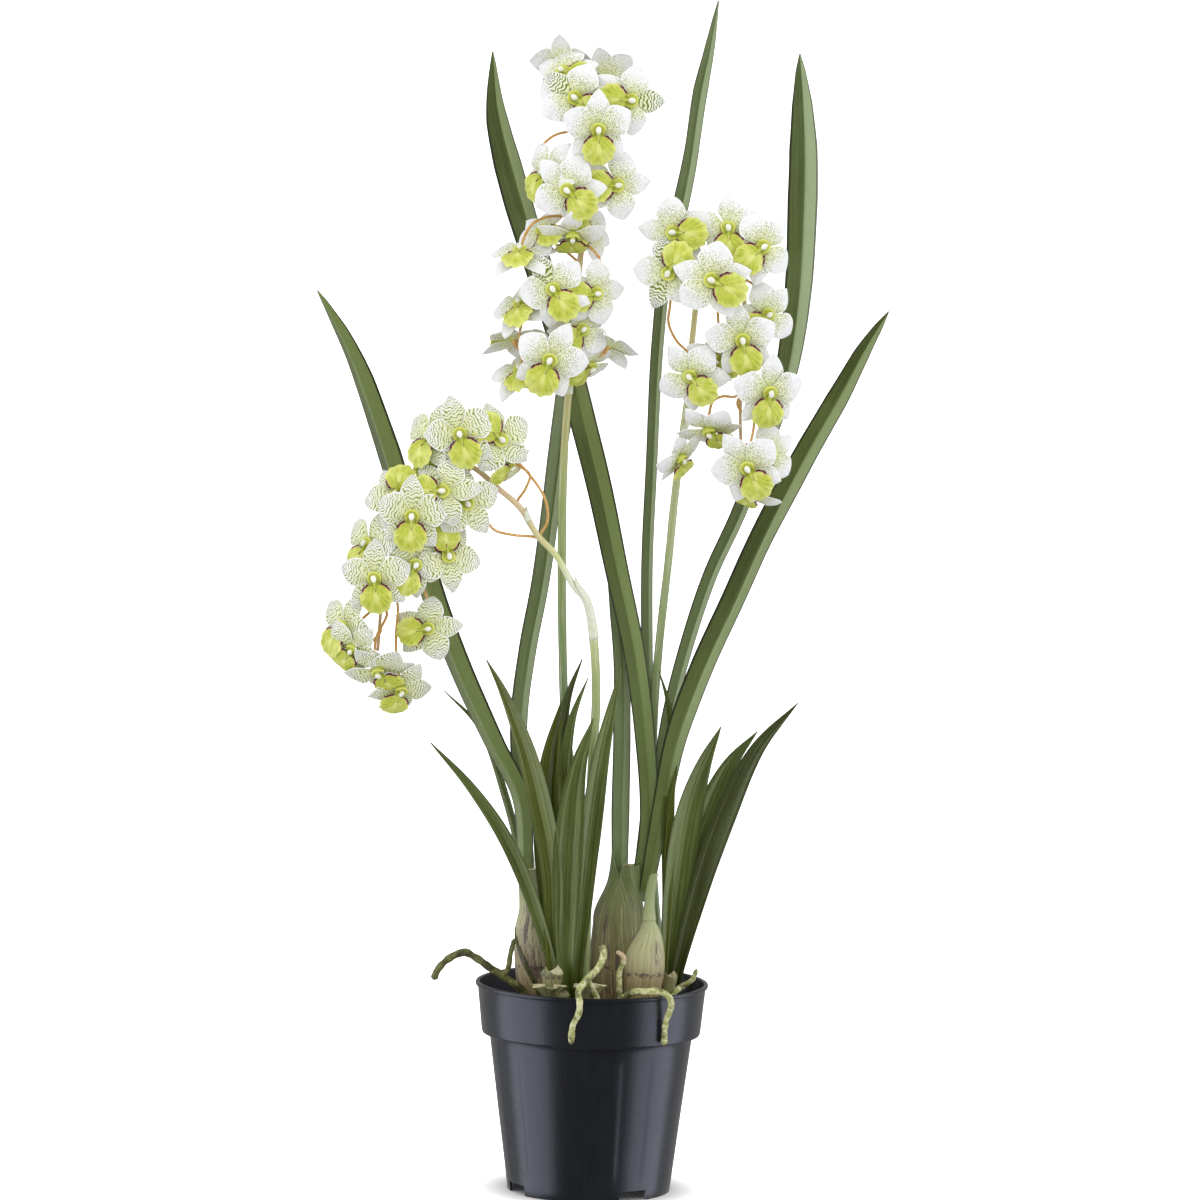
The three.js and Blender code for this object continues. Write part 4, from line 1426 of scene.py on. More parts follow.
ROOTS = (
    ("aerial_root_left", (
        RootRun(3.5, 3.0,
            ((-42, -18, 145), (-59, -24, 168), (-73, -24, 178), (-86, -26, 186), (-95, -28, 193),
             (-105, -28, 197), (-118, -28, 191), (-126, -28, 182), (-129, -28, 174)),
            1,
        ),
        RootRun(2.4, 2.0, ((-73, -24, 177), (-69, -27, 184), (-67, -28, 196), (-64, -27, 209)), 1),
    )),
    ("aerial_root_front", (
        RootRun(3.0, 2.5, ((7, -62, 210), (9, -63, 203), (5, -68, 193), (-4, -78, 184),
                           (-11, -93, 175.5), (-10, -100, 168), (-10, -99, 160), (-15, -97, 149),
                           (-16, -95, 134))),
        RootRun(2.6, 2.6, ((-4, -78, 184), (4, -70, 168), (10, -62, 146))),
    )),
    ("aerial_root_short", (
        RootRun(2.7, 2.2, ((22, -50, 145), (22, -51, 178), (22, -52, 187), (26, -54, 197))),
        RootRun(2.2, 1.9, ((25, -53, 194), (25, -54, 199), (19, -55, 204)), 2),
    )),
    ("aerial_root_right", (
        RootRun(3.1, 2.5, ((18, -62, 146), (24, -68, 166), (33, -76, 174), (46, -82, 176),
                           (56, -83, 176), (62, -83, 172), (64, -79, 163), (60, -75, 150), (59, -72, 131))),
    )),
    ("aerial_root_edge", (
        RootRun(3.0, 2.2, ((60, -22, 146), (65, -24, 165), (74, -26, 172), (81, -28, 178), (85, -28, 187))),
        RootRun(2.4, 1.9, ((74, -26, 172), (70, -34, 170), (64, -40, 165))),
    )),
)


@dataclass
class AerialRoots:
    """Knobbly aerial roots that climb out of the bark and hang over the rim."""

    roots: tuple[tuple[str, tuple[RootRun, ...]], ...] = ROOTS
    seed: int = 5

    def _run(self, sketch: Sketch, run: RootRun, dice: random.Random) -> None:
        """Adds one root with knots and a rounded tip."""
        length = sum(math.dist(a, b) for a, b in zip(run.path, run.path[1:]))
        rows = max(14, int(length / 1.6))
        path = smooth_path(run.path, rows)
        share = np.linspace(0, 1, rows)
        shift = dice.uniform(0, 50)
        wobble = np.array([field_noise.noise_vector(Vector(p) * 0.09 + Vector((shift, 0, 0))) for p in path])
        path = path + wobble * 0.9 * np.sin(np.pi * share)[:, None]
        lumps = np.array([field_noise.noise(Vector(p) * 0.22 + Vector((0, shift, 0))) for p in path])
        radii = (run.radius + (run.end - run.radius) * share) * (1 + 0.22 * lumps)
        cap = np.clip((1 - share) * length / run.end, 0, 1)
        radii *= np.sqrt(np.clip(1 - (1 - cap) ** 2, 0.03, 1))
        sketch.tube(path, radii, 14, run.finish)

    def build(self, palette: Palette) -> None:
        """Makes the roots, with the noise seeded too, so that they are the same in every run."""
        dice = random.Random(self.seed)
        field_noise.seed_set(self.seed)
        for node, runs in self.roots:
            sketch = Sketch()
            for run in runs:
                self._run(sketch, run, dice)
            finishes = [palette.root, palette.root_dark, palette.root_tip]
            place_piece(sketch.build(node + "_skin", finishes), [node])


@dataclass(frozen=True)
class Stub:
    """One old sheath, cut short.

    Attributes:
        name: The piece's name.
        foot: Where it stands in the bark.
        top: The middle of its cut end.
        radius: Radius at the cut.
        flare: How far its lobes spread outwards.
        lobes: How many lobes the cut end is torn into.
    """

    name: str
    foot: Place
    top: Place
    radius: float
    flare: float
    lobes: int


@dataclass
class CutSheaths:
    """Old leaf sheaths, cut short, that stand in the bark by the front of the rim."""

    stubs: tuple[Stub, ...] = (
        Stub("cut_sheath_cup", (-32, -50, 148), (-33, -52, 191), 7.2, 1.5, 2),
        Stub("cut_sheath_star_left", (-32, -60, 148), (-36, -62, 177), 5.5, 9.0, 5),
        Stub("cut_sheath_star_center", (-2, -60, 148), (-3, -62, 178), 6.0, 8.0, 5),
        Stub("cut_sheath_green", (-24, -60, 148), (-26, -60, 172), 6.5, 0.5, 2),
        Stub("cut_sheath_right", (62, -8, 148), (63, -8, 182), 5.2, 1.0, 2),
    )

    def build(self, palette: Palette) -> None:
        """Makes the stubs, each a wrapped sleeve with a torn edge."""
        for stub in self.stubs:
            sketch = Sketch()
            around = np.radians(np.linspace(-160, 200, 73))[None]
            rise = np.linspace(0, 1, 22)[:, None]
            torn = np.abs(np.sin(around * stub.lobes / 2 + 0.7)) ** 0.8
            flare = stub.flare * torn * np.clip((rise - 0.62) / 0.38, 0, 1) ** 1.6
            spread = stub.radius * (0.7 + 0.3 * rise) + flare
            spread = spread * (1 + 0.02 * (around + 2.6))
            foot, top = np.array(stub.foot, float), np.array(stub.top, float)
            tall = rise * (1 - (0.16 if stub.flare < 3 else 0.04) * torn)
            middle = foot + (top - foot) * tall[..., None]
            ring = np.stack(np.broadcast_arrays(np.sin(around), -0.85 * np.cos(around), 0 * around), -1)
            sketch.sheet(middle + ring * spread[..., None], 0.8, 0, 1)
            place_piece(sketch.build(stub.name, [palette.sheath_green, palette.cut], 60))


@dataclass
class BackLeaf:
    """A thin young leaf that rises behind the left bulb."""

    path: tuple[Place, ...] = (
        (-36, 32, 148), (-42, 33, 190), (-54, 34, 240), (-73, 38, 314), (-96, 39, 373), (-126, 38, 404),
    )
    width: float = 7.0

    def build(self, palette: Palette) -> None:
        """Makes the leaf."""
        sketch = Sketch()
        blade = Blade(self.path, tip_widths(4.0, self.width, 0.5, 0.6), bends=((0, 40), (1, 20)))
        sketch.sheet(blade.surface(90, 9), 0.7, 0, 0)
        place_piece(sketch.build("young_leaf_back", [palette.grass], 70))


# Flower stems


@dataclass(frozen=True)
class Spike:
    """One flower spike.

    Attributes:
        node: The CAD node it replaces.
        cluster: Name of its stem colours and of its flowers.
        path: The stem, from the bark to its tip.
        radii: (share of the length, radius) stops.
        bracts: (share, length, side) of each papery bract; side is -1 to the left and 1 to the right.
        drop: How far down the stem a stalk starts below its flower.
    """

    node: str
    cluster: str
    path: tuple[Place, ...]
    radii: Stops
    bracts: tuple[Place, ...]
    drop: float


STALK_ROUTES: dict[str, tuple[Place, ...]] = {
    "c05": ((-33, -14, 864), (-45, -18, 860), (-53, -16, 850)),
    "c10": ((-44, -14, 796), (-59, -20, 790), (-68, -14, 771)),
    "c12": ((-13, -12, 772), (-5, -16, 763), (-3, -14, 755)),
    "c17": ((-49, -20, 727), (-62, -24, 718), (-68, -18, 702)),
    "r02": ((68, 12, 687), (59, 4, 696), (52, -4, 711), (53, -14, 726)),
    "r05": ((74, 12, 681), (78, 2, 689), (88, -8, 700), (92, -16, 709)),
    "r06": ((115, -14, 747), (123, -20, 742), (128, -16, 732)),
    "r10": ((120, -16, 683), (127, -24, 682), (130, -28, 676), (132, -30, 668)),
    "r11": ((108, -10, 653), (96, -18, 653), (89, -20, 649), (86, -18, 638)),
    "r13": ((109, -12, 647), (114, -20, 639), (122, -28, 637)),
    "a03": ((-49, -26, 537), (-43, -30, 550), (-45, -32, 568), (-58, -34, 588)),
    "a18": ((-68, -30, 565), (-61, -36, 577), (-58, -38, 589)),
    "a06": ((-53, -26, 537), (-70, -34, 539), (-85, -40, 543), (-92, -46, 551)),
    "a10": ((-120, -40, 567), (-115, -48, 555), (-114, -50, 545), (-116, -50, 533)),
    "a05": ((-132, -46, 586), (-139, -56, 586), (-145, -58, 581)),
    "a16": ((-167, -44, 498), (-165, -48, 492), (-162, -52, 480), (-163, -52, 462), (-163, -50, 445)),
    "a15": ((-171, -46, 475), (-179, -50, 456), (-180, -50, 445)),
    "a17": ((-176, -46, 460), (-183, -50, 452), (-189, -52, 449), (-190, -50, 442)),
    "a14": ((-153, -42, 506), (-142, -48, 495), (-138, -46, 483)),
}


SPIKES = (
    Spike("flower_spike_center", "center",
        ((-14, 2, 148), (-18, 6, 319), (-26, 8, 385), (-29, 10, 442), (-31, 12, 515), (-31, 12, 589),
         (-28, 10, 654), (-23, 8, 727), (-18, 6, 793), (-16, 4, 849), (-20, 2, 890), (-28, 0, 908)),
        ((0, 4.4), (0.5, 3.8), (0.75, 2.9), (1, 1.5)),
        ((0.66, 14, 1), (0.74, 12, -1), (0.84, 10, 1)),
        14,
    ),
    Spike("flower_spike_right", "right",
        ((60, 44, 148), (47, 38, 270), (46, 35, 350), (47, 34, 399), (50, 32, 449), (56, 30, 515),
         (60, 28, 565), (65, 24, 614), (69, 20, 651), (72, 14, 700), (77, 8, 746), (86, 2, 778),
         (99, -2, 791), (109, -4, 771), (113, -6, 731), (112, -6, 674), (112, -6, 625), (115, -6, 593)),
        ((0, 4.2), (0.45, 3.6), (0.7, 2.6), (1, 1.4)),
        ((0.535, 34, 1), (0.62, 12, 1), (0.7, 10, -1)),
        12,
    ),
    Spike("flower_spike_left", "left",
        ((-6, -24, 148), (-5, -22, 282), (-3, -20, 356), (-1, -20, 405), (-4, -20, 454), (-11, -22, 486),
         (-21, -24, 498), (-36, -27, 523), (-51, -30, 539), (-65, -34, 561), (-82, -38, 576),
         (-106, -42, 595), (-130, -44, 598), (-152, -45, 575), (-165, -45, 534), (-175, -44, 485),
         (-178, -42, 444)),
        ((0, 4.4), (0.45, 3.9), (0.55, 2.9), (0.8, 2.2), (1, 1.4)),
        ((0.452, 56, 1), (0.62, 10, 1), (0.72, 9, -1)),
        10,
    ),
)


@dataclass
class FlowerSpikes:
    """Three spikes: a stem with papery bracts and a thin amber stalk to each flower."""

    spikes: tuple[Spike, ...] = SPIKES
    rows: int = 170
    sides: int = 16
    stalk: float = 1.15
    seed: int = 21

    def _bract(self, sketch: Sketch, path: np.ndarray, radii: np.ndarray, bract: Place) -> None:
        """Adds a papery bract that wraps the stem and parts from it at its tip."""
        at, length, side = bract
        out, across = carried_frames(path)
        rows, cols = 22, 15
        reach = np.linalg.norm(path[1] - path[0]) * (len(path) - 1)
        share = np.clip(np.linspace(at, at + length / reach, rows), 0, 1)
        pick = share * (len(path) - 1)
        low = np.floor(pick).astype(int).clip(0, len(path) - 2)
        part = (pick - low)[:, None]
        middle = path[low] * (1 - part) + path[low + 1] * part
        radius = np.interp(pick, np.arange(len(path)), radii)[:, None]
        rise = np.linspace(0, 1, rows)[:, None]
        width = np.radians(140) * np.sqrt(np.clip(1 - rise**1.6, 0.004, 1))
        angle = np.radians(90 if side > 0 else -90) + width * np.linspace(-1, 1, cols)[None]
        apart = radius + 0.35 + 2.2 * rise**4
        ring = np.cos(angle)[..., None] * out[low][:, None] + np.sin(angle)[..., None] * across[low][:, None]
        sketch.sheet(middle[:, None] + ring * apart[..., None], 0.5, 2, 2)

    def _stalk(
        self, sketch: Sketch, start: np.ndarray, away: np.ndarray, bloom: Bloom, dice: random.Random
    ) -> None:
        """Adds one flower's stalk: an arc from the stem to the flower's back."""
        facing, _, up = bloom.axes()
        centre = np.array(bloom.spot, float)
        end = centre - facing * 1.5
        behind = centre - facing * 14 + up * dice.uniform(-2, 3)
        spread = unit(centre - start + vec(0, 0, 0.01))
        reach = np.linalg.norm(end - start)
        first = start + (spread * 0.25 + vec(0, 0.1, 0) + away * 0.18) * reach + vec(0, 2, dice.uniform(2, 6))
        t = np.linspace(0, 1, 22)[:, None]
        curve = (1 - t) ** 3 * start + 3 * (1 - t) ** 2 * t * first + 3 * (1 - t) * t**2 * behind + t**3 * end
        route = STALK_ROUTES.get(bloom.key)
        if route:
            curve = smooth_path((tuple(start), *route, tuple(centre - facing * 9), tuple(end)), 44)
        share = np.linspace(0, 1, len(curve))
        radii = self.stalk * (1 + 0.35 * ease(0.75, 1, share) + 0.25 * ease(0.15, 0, share))
        sketch.tube(curve, radii, 9, 1)

    def build(self, palette: Palette) -> None:
        """Makes the spikes."""
        dice = random.Random(self.seed)
        for spike in self.spikes:
            path = smooth_path(spike.path, self.rows)
            share = np.linspace(0, 1, self.rows)
            radii = along(spike.radii, share)
            knots = sum(0.35 * np.exp(-(((share - at) / 0.006) ** 2)) for at, _, _ in spike.bracts)
            wave = np.array([field_noise.noise(Vector(p) * 0.05) for p in path]) * 0.06
            sketch = Sketch()
            sketch.tube(path, radii * (1 + wave) + knots, self.sides, 0, 0.92)
            for bract in spike.bracts:
                self._bract(sketch, path, radii, bract)
            for bloom in BLOOMS[spike.cluster]:
                route = STALK_ROUTES.get(bloom.key)
                goal = np.array(route[0] if route else bloom.spot, float)
                near = int(np.argmin(np.linalg.norm(path - goal, axis=1)))
                reach = np.cumsum(np.linalg.norm(np.diff(path, axis=0), axis=1))
                drop = 1.0 if route else spike.drop * dice.uniform(0.6, 1.4)
                row = int(np.searchsorted(reach, max(reach[max(near - 1, 0)] - drop, 0)))
                away = unit(np.array(bloom.spot, float) - path[row])
                self._stalk(sketch, path[row], away, bloom, dice)
            finishes = [palette.stems[spike.cluster], palette.amber, palette.bract]
            place_piece(sketch.build(spike.node + "_stem", finishes), [spike.node])


# Flowers


class Pattern(Enum):
    """How a flower's sepals and petals are marked."""

    SPECKLED = 0
    BANDED = 1
    ZEBRA = 2


class Part(Enum):
    """The five tepals, with the angle that each points to on the flower's face."""

    DORSAL = 90.0
    RIGHT_PETAL = 17.0
    LEFT_PETAL = 163.0
    RIGHT_SEPAL = -52.0
    LEFT_SEPAL = -128.0


@dataclass(frozen=True)
class Bloom:
    """One flower.

    Attributes:
        key: The flower's key in its cluster.
        name: The piece's name.
        spot: The middle of its face.
        azimuth: Degrees that it faces to the viewer's right.
        elevation: Degrees that it faces up.
        roll: Direction of its lip: 0 is down, positive towards the viewer's right.
        size: Its size against a 60 mm flower.
        node: The CAD node it replaces, if any.
        zebra: The tepals with bold bands.
    """

    key: str
    name: str
    spot: Place
    azimuth: float
    elevation: float
    roll: float
    size: float
    node: str = ""
    zebra: tuple[Part, ...] = ()

    def axes(self) -> tuple[np.ndarray, np.ndarray, np.ndarray]:
        """Returns the directions that the flower's face, right side and top point to."""
        turn, rise, roll = (math.radians(a) for a in (self.azimuth, self.elevation, self.roll))
        face = vec(math.sin(turn) * math.cos(rise), -math.cos(turn) * math.cos(rise), math.sin(rise))
        up = unit(vec(0, 0, 1) - face * face[2])
        right = np.cross(up, face)
        cos, sin = math.cos(roll), math.sin(roll)
        return face, right * cos + up * sin, up * cos - right * sin


Row = tuple[float, float, float, float, float, float, float]


def blooms(
    cluster: str, letter: str, looks_only: Sequence[int], zebra: dict[int, tuple[Part, ...]], *rows: Row
) -> list[Bloom]:
    """Names a cluster's flowers.

    Args:
        cluster: The spike's name.
        letter: The letter that starts its flowers' keys.
        looks_only: Numbers of the flowers that the CAD model leaves out; it numbers the rest in order.
        zebra: The boldly banded tepals, by flower number.
        rows: (x, y, z, azimuth, elevation, roll, size) of each flower, from number 1.

    Returns:
        The flowers.
    """
    made = []
    nodes = 0
    for number, (x, y, z, azimuth, elevation, roll, size) in enumerate(rows, 1):
        key = f"{letter}{number:02d}"
        node = ""
        if number not in looks_only:
            nodes += 1
            node = f"flower_{cluster}_{nodes:02d}"
        name = f"bloom_{cluster}_{key}"
        marked = zebra.get(number, ())
        made.append(Bloom(key, name, (x, y, z), azimuth, elevation, roll, size, node, marked))
    return made


BLOOMS = {
    "center": blooms(
        "center", "c", (8, 10, 16, 17, 18, 19, 20, 21, 22),
        {1: (Part.LEFT_SEPAL,), 2: (Part.DORSAL,), 3: (Part.DORSAL,), 11: (Part.DORSAL,)},
        (-35, -12, 910, -30, 35, 75, 0.95),
        (-26, -32, 892, -8, 5, 52, 1.0),
        (17, -26, 891, 12, 0, -92, 1.0),
        (-8, -44, 868, 5, -8, 2, 1.0),
        (-47, -26, 832, -50, 5, -30, 0.95),
        (-31, -40, 819, -5, -5, 48, 1.02),
        (7, -26, 822, 15, 5, -88, 1.0),
        (-50, -8, 782, -35, 40, 60, 0.85),
        (-27, -24, 784, 5, -60, 0, 0.95),
        (-68, -18, 764, -22, 62, 15, 1.0),
        (-41, -38, 738, -5, 5, 35, 1.0),
        (-9, -24, 735, 25, 0, -80, 0.95),
        (-66, -16, 722, -40, 45, 30, 1.0),
        (-43, -46, 682, -3, -5, -20, 1.05),
        (-19, -22, 705, 20, 5, -55, 0.9),
        (-12, -4, 677, 40, -45, -40, 0.85),
        (-66, -14, 668, -30, 50, 25, 0.95),
        (-12, 0, 781, 45, 10, -100, 0.8),
        (-37, 2, 917, 165, 25, 0, 0.9),
        (-2, -4, 908, 190, 15, -20, 0.9),
        (-72, -6, 694, 200, 62, 10, 0.95),
        (2, -6, 690, 155, 55, 20, 0.95),
    ),
    "right": blooms(
        "right", "r", (9, 14, 15), {2: (Part.DORSAL, Part.RIGHT_SEPAL)},
        (55, -28, 785, -10, 5, 88, 1.0),
        (52, -34, 753, -12, 0, 150, 1.0),
        (98, -30, 789, 3, 10, 3, 1.0),
        (125, -34, 775, 15, 5, -52, 1.0),
        (86, -50, 749, -3, 0, 64, 1.08),
        (130, -20, 720, 22, 0, -50, 0.95),
        (111, -40, 701, 5, -8, 12, 1.02),
        (71, -34, 671, -12, -10, 43, 0.98),
        (90, -20, 683, 10, -15, 70, 0.8),
        (133, -38, 659, 18, -12, -5, 1.02),
        (86, -24, 628, 10, -55, 50, 0.95),
        (62, -22, 604, 58, -35, 40, 0.85),
        (117, -46, 599, 3, -15, 30, 1.02),
        (124, -24, 576, -35, -60, -60, 0.8),
        (135, -18, 607, 30, 0, -60, 0.9),
    ),
    "left": blooms(
        "left", "a", (4, 8, 15, 16, 17, 18), {},
        (-137, -58, 619, -40, 15, -10, 0.95),
        (-114, -72, 623, 0, 0, 18, 1.0),
        (-83, -60, 618, 20, 5, -130, 1.0),
        (-131, -52, 599, -15, 10, -60, 0.75),
        (-125, -74, 577, -20, 5, -88, 0.98),
        (-109, -64, 567, 15, 0, -140, 0.98),
        (-151, -76, 557, -3, -5, -3, 1.02),
        (-164, -62, 570, -15, 30, 170, 0.95),
        (-185, -54, 531, -45, 10, -20, 0.95),
        (-123, -60, 523, 15, 10, -170, 0.95),
        (-149, -66, 517, 10, -5, -30, 0.95),
        (-180, -72, 506, -8, -5, 8, 1.0),
        (-204, -58, 464, -45, 5, -30, 0.95),
        (-137, -52, 464, -5, 0, -80, 0.9),
        (-177, -62, 432, 5, -50, 40, 0.95),
        (-159, -48, 415, 10, -40, -20, 0.9),
        (-196, -66, 449, -35, -30, -45, 0.9),
        (-76, -44, 597, 50, -30, -60, 0.75),
    ),
}


@dataclass
class Flowers:
    """Flowers with three sepals, two broad petals, a fanned lip and a white-capped column."""

    petal: tuple[float, float] = (29.5, 26.0)
    sepal: tuple[float, float] = (31.5, 19.5)
    side_sepal: tuple[float, float] = (31.0, 19.0)
    heart: float = 3.2
    thickness: float = 0.55
    seed: int = 77

    def _tepal(self, sketch: Sketch, part: Part, slot: int, dice: random.Random) -> None:
        """Adds one tepal in the flower's own frame: X right, Y up and Z towards the viewer."""
        petal = part in (Part.LEFT_PETAL, Part.RIGHT_PETAL)
        length, width = self.petal if petal else self.sepal if part is Part.DORSAL else self.side_sepal
        length *= dice.uniform(0.96, 1.04)
        width *= dice.uniform(0.94, 1.06)
        rows, cols = 18, 13
        v = np.sin(np.linspace(0, 1, rows) * np.pi / 2) ** 1.15
        v[-1] = 1.0
        outline = (0.3, 0.5, 0.46, 1.75, 0.74) if petal else (0.36, 0.46, 0.42, 1.8, 0.85)
        foot, full, start, bend, blunt = outline
        rise = foot + (1 - foot) * ease(-0.05, full, v)
        fall = np.clip(1 - np.clip((v - start) / (1 - start), 0, 1) ** bend, 0, 1) ** blunt
        half = np.maximum(width / 2 * rise * fall, 0.25)[:, None]
        half = half * (1 + 0.025 * np.sin(dice.uniform(0, 6.3) + 13 * v) * v)[:, None]
        s = np.linspace(-1, 1, cols)[None]
        angle = math.radians(part.value + dice.uniform(-7, 7))
        along_way = vec(math.cos(angle), math.sin(angle), 0)
        across_way = vec(math.sin(angle), -math.cos(angle), 0)
        vv = v[:, None]
        sway = dice.uniform(-1.6, 1.6) * vv**2
        lift = 1.6 if petal else 0.2
        cup = dice.uniform(1.6, 3.6) if petal else dice.uniform(0.8, 2.6)
        reflex = dice.uniform(2.2, 6.0)
        depth = lift + cup * np.sin(np.pi * np.minimum(vv * 0.95, 1)) - reflex * vv**2.6
        depth = depth - dice.uniform(0.5, 2.2) * s**2 * np.sin(np.pi * vv * 0.9)
        depth = depth + dice.uniform(-1.4, 1.4) * s * vv
        phase = dice.uniform(0, 6.3)
        ruffle = (0.55 if petal else 0.3) * np.abs(s) ** 2 * np.sin(phase + 9.5 * vv + 1.4 * s)
        depth = depth + ruffle * vv
        if not petal:
            depth = depth + 0.5 * np.exp(-((s / 0.22) ** 2)) * (vv - 0.2)
        place = (
            along_way * (self.heart + (length - self.heart) * vv)[..., None]
            + across_way * (half * s + sway)[..., None]
            + vec(0, 0, 1) * depth[..., None]
        )
        sketch.sheet(place, self.thickness, slot, slot)

    def _lip(self, sketch: Sketch, dice: random.Random) -> None:
        """Adds the lip: a narrow claw that opens into a pleated fan."""
        rows, cols = 14, 53
        widest = math.radians(112)
        angle = np.linspace(-widest, widest, cols)[None]
        out = np.linspace(0.1, 1, rows)[:, None]
        shift, fan = 9.0, 13.2
        radius = shift * np.cos(angle) + np.sqrt(fan**2 - (shift * np.sin(angle)) ** 2)
        frill = 1 + 0.035 * out**3 * np.sin(angle * 16 + dice.uniform(0, 6.3))
        reach = radius * out * frill
        x = reach * np.sin(angle)
        y = -6.4 - reach * np.cos(angle)
        fall = np.clip((-y - 6) / 24, 0, 1)
        z = 7.2 + 3.4 * np.sin(np.pi * np.minimum(fall * 0.9, 1)) - 4.2 * fall**2.2
        z = z - 0.010 * x**2 + 0.34 * out**1.5 * np.sin(angle * 21)
        z = z + 0.55 * out**3 * np.sin(angle * 7 + dice.uniform(0, 6.3))
        sketch.sheet(np.stack([x, y, z], -1)[:, ::-1], 0.6, 3, 3)
        t = np.linspace(0, 1, 8)[:, None]
        s = np.linspace(-1, 1, 7)[None]
        half = 2.9 - 0.7 * np.sin(np.pi * t) + 1.2 * t**2
        claw = np.stack([half * s, -3.4 - 5.6 * t + 0 * s, 3.6 + 4.6 * t**0.7 - 0.9 * s**2], -1)
        sketch.sheet(claw[:, ::-1], 0.9, 3, 3)

    def _heart(self, sketch: Sketch) -> None:
        """Adds the cup, the column with its cap and the swelling behind the flower."""
        ring = [(0.0, -0.5), (3.8, 0.2), (5.4, 2.2), (6.3, 4.4), (6.6, 5.2)]
        ring += [(6.4, 5.8), (5.6, 5.9), (4.6, 5.0), (3.2, 4.5), (0.0, 4.3)]

        def hood(points: np.ndarray, angle: np.ndarray) -> np.ndarray:
            """Waves the cup's rim, arches it over the column and opens it towards the lip."""
            moved = points * np.array([0.94, 1.04, 1.0])
            high = ease(2, 6, points[..., 2])
            low = ease(-0.35, -0.95, np.sin(angle)) * np.ones_like(high)
            behind = np.clip(np.sin(angle), 0, 1)
            moved[..., 2] += high * (0.4 * np.sin(3 * angle + 0.6) + 1.3 * behind - 2.6 * low)
            moved[..., 1] -= high * (0.8 * behind + 1.2 * low)
            return moved

        sketch.turned(ring, 40, 4, hood)
        column = smooth_path(((0, 0.6, 2.6), (0, 1.4, 5.6), (0, 1.1, 8.0)), 10)
        sketch.tube(column, np.array([2.6, 2.5, 2.4, 2.3, 2.2, 2.1, 2.0, 1.9, 1.9, 1.8]), 14, 4)
        keel = smooth_path(((0, -0.5, 7.2), (0, -3.6, 6.4), (0, -7.2, 8.0), (0, -10.5, 9.0)), 14)
        sketch.tube(keel, np.linspace(1.7, 0.7, 14), 10, 3)
        t = np.linspace(0, np.pi, 12)
        cap = [(0.0, -1.0)] + [(math.sin(a) * 1.0, -math.cos(a)) for a in t[1:-1]] + [(0.0, 1.0)]
        first = len(sketch.points)
        sketch.turned(cap, 24, 5)
        for i in range(first, len(sketch.points)):
            body = sketch.points[i] * np.array([2.25, 3.1, 1.7])
            body[:, 2] += 0.5 * np.exp(-(((body[:, 0]) / 0.7) ** 2)) * (body[:, 2] > 0)
            sketch.points[i] = body + vec(0, 0.4, 8.6)
        back = smooth_path(((0, 0, 2.0), (0, 0, -2.2), (0, 0.4, -5.5)), 8)
        sketch.tube(back, np.array([4.4, 4.0, 3.3, 2.6, 2.1, 1.8, 1.6, 1.3]), 14, 6)

    def _one(self, bloom: Bloom, default: Pattern, palette: Palette, dice: random.Random) -> None:
        """Makes one flower."""
        sketch = Sketch()
        for part in (Part.DORSAL, Part.LEFT_SEPAL, Part.RIGHT_SEPAL, Part.LEFT_PETAL, Part.RIGHT_PETAL):
            slot = Pattern.ZEBRA.value if part in bloom.zebra else default.value
            self._tepal(sketch, part, slot, dice)
        self._lip(sketch, dice)
        self._heart(sketch)
        face, right, up = bloom.axes()
        turn = Matrix((right * bloom.size, up * bloom.size, face * bloom.size)).transposed().to_4x4()
        turn.translation = Vector(bloom.spot)
        sketch.move(turn)
        finishes = [palette.speckled, palette.banded, palette.zebra]
        finishes += [palette.lip, palette.cup, palette.cap, palette.amber]
        place_piece(sketch.build(bloom.name, finishes, 75), [bloom.node] if bloom.node else [])

    def build(self, palette: Palette) -> None:
        """Makes every flower."""
        for cluster, members in BLOOMS.items():
            default = Pattern.BANDED if cluster == "left" else Pattern.SPECKLED
            for number, bloom in enumerate(members):
                dice = random.Random(f"{self.seed} {cluster} {number}")
                self._one(bloom, default, palette, dice)


# Studio


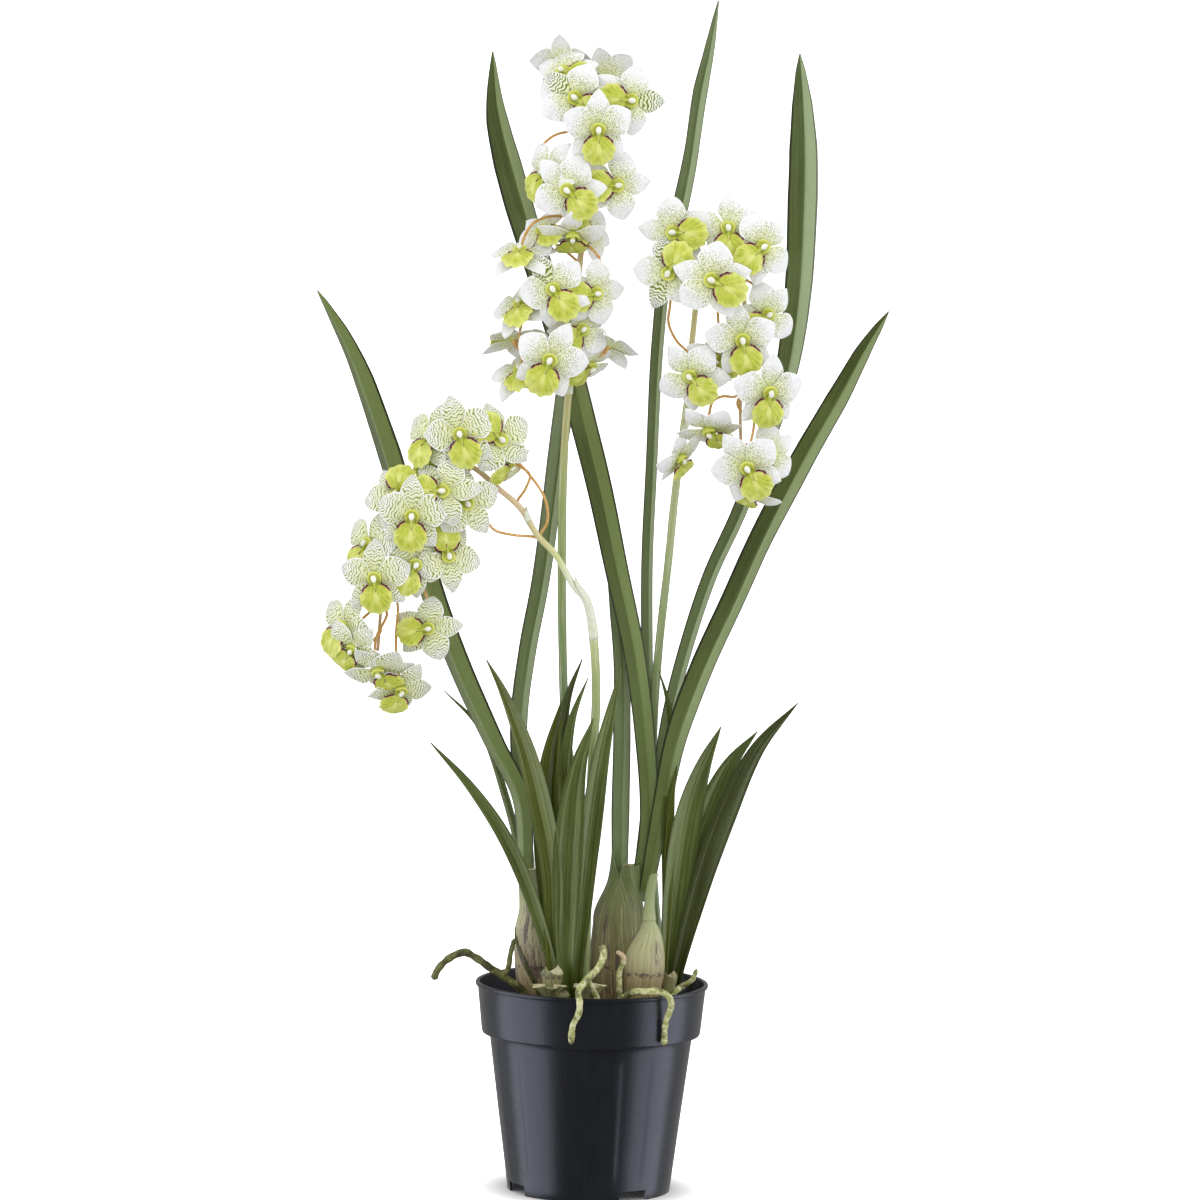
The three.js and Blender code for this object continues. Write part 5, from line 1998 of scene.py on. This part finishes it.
@dataclass
class Studio:
    """A pale floor, soft lights and the photograph's camera."""

    eye: Place = (0.0007, -6.0, 1.077)
    aim: Place = (0.0007, 0.0, 0.4842)
    lens: float = 222.5
    roll: float = 1.05
    fill: float = 0.8
    sheen_tint: Colour = (0.9, 0.95, 1.16)
    gloss_range: tuple[float, float, float, float] = (-0.2, 0.6, 0.1, 0.42)

    def _floor(self) -> None:
        """Makes the floor, a wide disc with a finer middle."""
        s = Shader("floor")
        mottle = s.noise(s.place(), 3, 3)
        colour = s.mix(mottle, (0.93, 0.93, 0.93), (0.96, 0.96, 0.96))
        away = s.node("ShaderNodeVectorMath", {0: s.place()}, operation="LENGTH")
        glow = s.times(s.step(away.outputs["Value"], 0.06, 0.13), 1.1)
        finish = s.finish(colour, 0.8, 0.2, Emission_Color=(1, 1, 1), Emission_Strength=glow)
        radii = np.concatenate([[0.05], np.geomspace(0.1, 90, 30)]) / MM
        sketch = Sketch()
        rim = radii[:, None, None] * circle(64)[1][None]
        sketch.disc(np.concatenate([0 * rim[:1], rim]))
        floor = sketch.build("floor", [finish])
        floor.location.z = -0.0004
        floor.visible_diffuse = floor.visible_glossy = floor.visible_shadow = False

    def _soft_light(
        self, name: str, way: Place, size: tuple[float, float], power: float, sheen: bool = False
    ) -> None:
        """Adds a soft light that points at the plant.

        Args:
            name: The light's name.
            way: Degrees from the camera's side towards the right, degrees above the horizon, and metres
                from the plant.
            size: Width and height of the light in metres.
            power: Watts.
            sheen: True for a light that shows only in gloss.
        """
        data = bpy.data.lights.new(name, "AREA")
        data.shape = "RECTANGLE"
        data.size, data.size_y = size
        data.energy = power
        if sheen:
            data.color = self.sheen_tint
        lamp = bpy.data.objects.new(name, data)
        lamp.visible_diffuse = not sheen
        lamp.visible_glossy = sheen
        turn, rise = math.radians(way[0]), math.radians(way[1])
        out = Vector((math.sin(turn) * math.cos(rise), -math.cos(turn) * math.cos(rise), math.sin(rise)))
        lamp.location = Vector((0, 0, 0.5)) + out * way[2]
        lamp.rotation_euler = out.to_track_quat("Z", "Y").to_euler()
        bpy.context.scene.collection.objects.link(lamp)

    def _world(self) -> None:
        """Sets a white backdrop and a soft fill."""
        world = bpy.data.worlds.new("studio")
        bpy.context.scene.world = world
        world.use_nodes = True
        s = Graph(world.node_tree)
        depth = s.parts(s.node("ShaderNodeTexCoord").outputs["Generated"])[1]
        ends = dict(zip(("From Min", "From Max", "To Min", "To Max"), self.gloss_range))
        backdrop = s.node("ShaderNodeMapRange", {"Value": depth, **ends}).outputs[0]
        rays = s.node("ShaderNodeLightPath").outputs
        strength = s.node("ShaderNodeMix", {0: rays["Is Glossy Ray"], 2: self.fill, 3: backdrop}).outputs[0]
        strength = s.node("ShaderNodeMix", {0: rays["Is Camera Ray"], 2: strength, 3: 1.05}).outputs[0]
        background = world.node_tree.nodes["Background"]
        s.feed(background.inputs["Strength"], strength)
        background.inputs["Color"].default_value = (1, 1, 1, 1)

    def build(self) -> None:
        """Makes the floor, lights and camera."""
        self._floor()
        self._world()
        for side, azimuth, width in (("left", -80, 2.6), ("right", 82, 2.5)):
            self._soft_light(side + "_sheen", (azimuth, -3, 2.4), (width, 3.8), 6.8 * width * 3.8, sheen=True)
            self._soft_light(side, (azimuth, 12, 2.4), (width, 2.6), 1.3 * width * 2.6)
        self._soft_light("top", (0, 72, 2.6), (1.8, 1.8), 12)
        self._soft_light("front", (6, 25, 3.4), (1.8, 1.8), 20)
        scene = bpy.context.scene
        scene.view_settings.view_transform = "Standard"
        scene.view_settings.look = "None"
        data = bpy.data.cameras.new("camera")
        data.lens = self.lens
        data.sensor_width = 36
        data.clip_end = 300
        camera = bpy.data.objects.new("camera", data)
        camera.location = self.eye
        way = Vector(self.aim) - Vector(self.eye)
        look = way.to_track_quat("-Z", "Y") @ Quaternion((0, 0, 1), math.radians(self.roll))
        camera.rotation_euler = look.to_euler()
        scene.collection.objects.link(camera)
        scene.camera = camera


def main() -> None:
    """Builds the looks over the frame."""
    logging.basicConfig(level=logging.INFO, format="%(message)s")
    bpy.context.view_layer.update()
    palette = Palette()
    NurseryPot().build(palette)
    BarkMedium().build(palette)
    Pseudobulbs().build(palette)
    StrapLeaves().build(palette)
    LeafTufts().build(palette)
    AerialRoots().build(palette)
    CutSheaths().build(palette)
    BackLeaf().build(palette)
    FlowerSpikes().build(palette)
    Flowers().build(palette)
    Studio().build()


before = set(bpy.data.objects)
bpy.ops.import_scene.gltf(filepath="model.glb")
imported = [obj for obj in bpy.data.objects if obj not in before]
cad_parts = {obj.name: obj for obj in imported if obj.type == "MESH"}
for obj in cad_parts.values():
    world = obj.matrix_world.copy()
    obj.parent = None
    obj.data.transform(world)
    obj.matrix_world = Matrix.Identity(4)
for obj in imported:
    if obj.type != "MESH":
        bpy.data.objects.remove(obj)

if __name__ == "__main__":
    main()
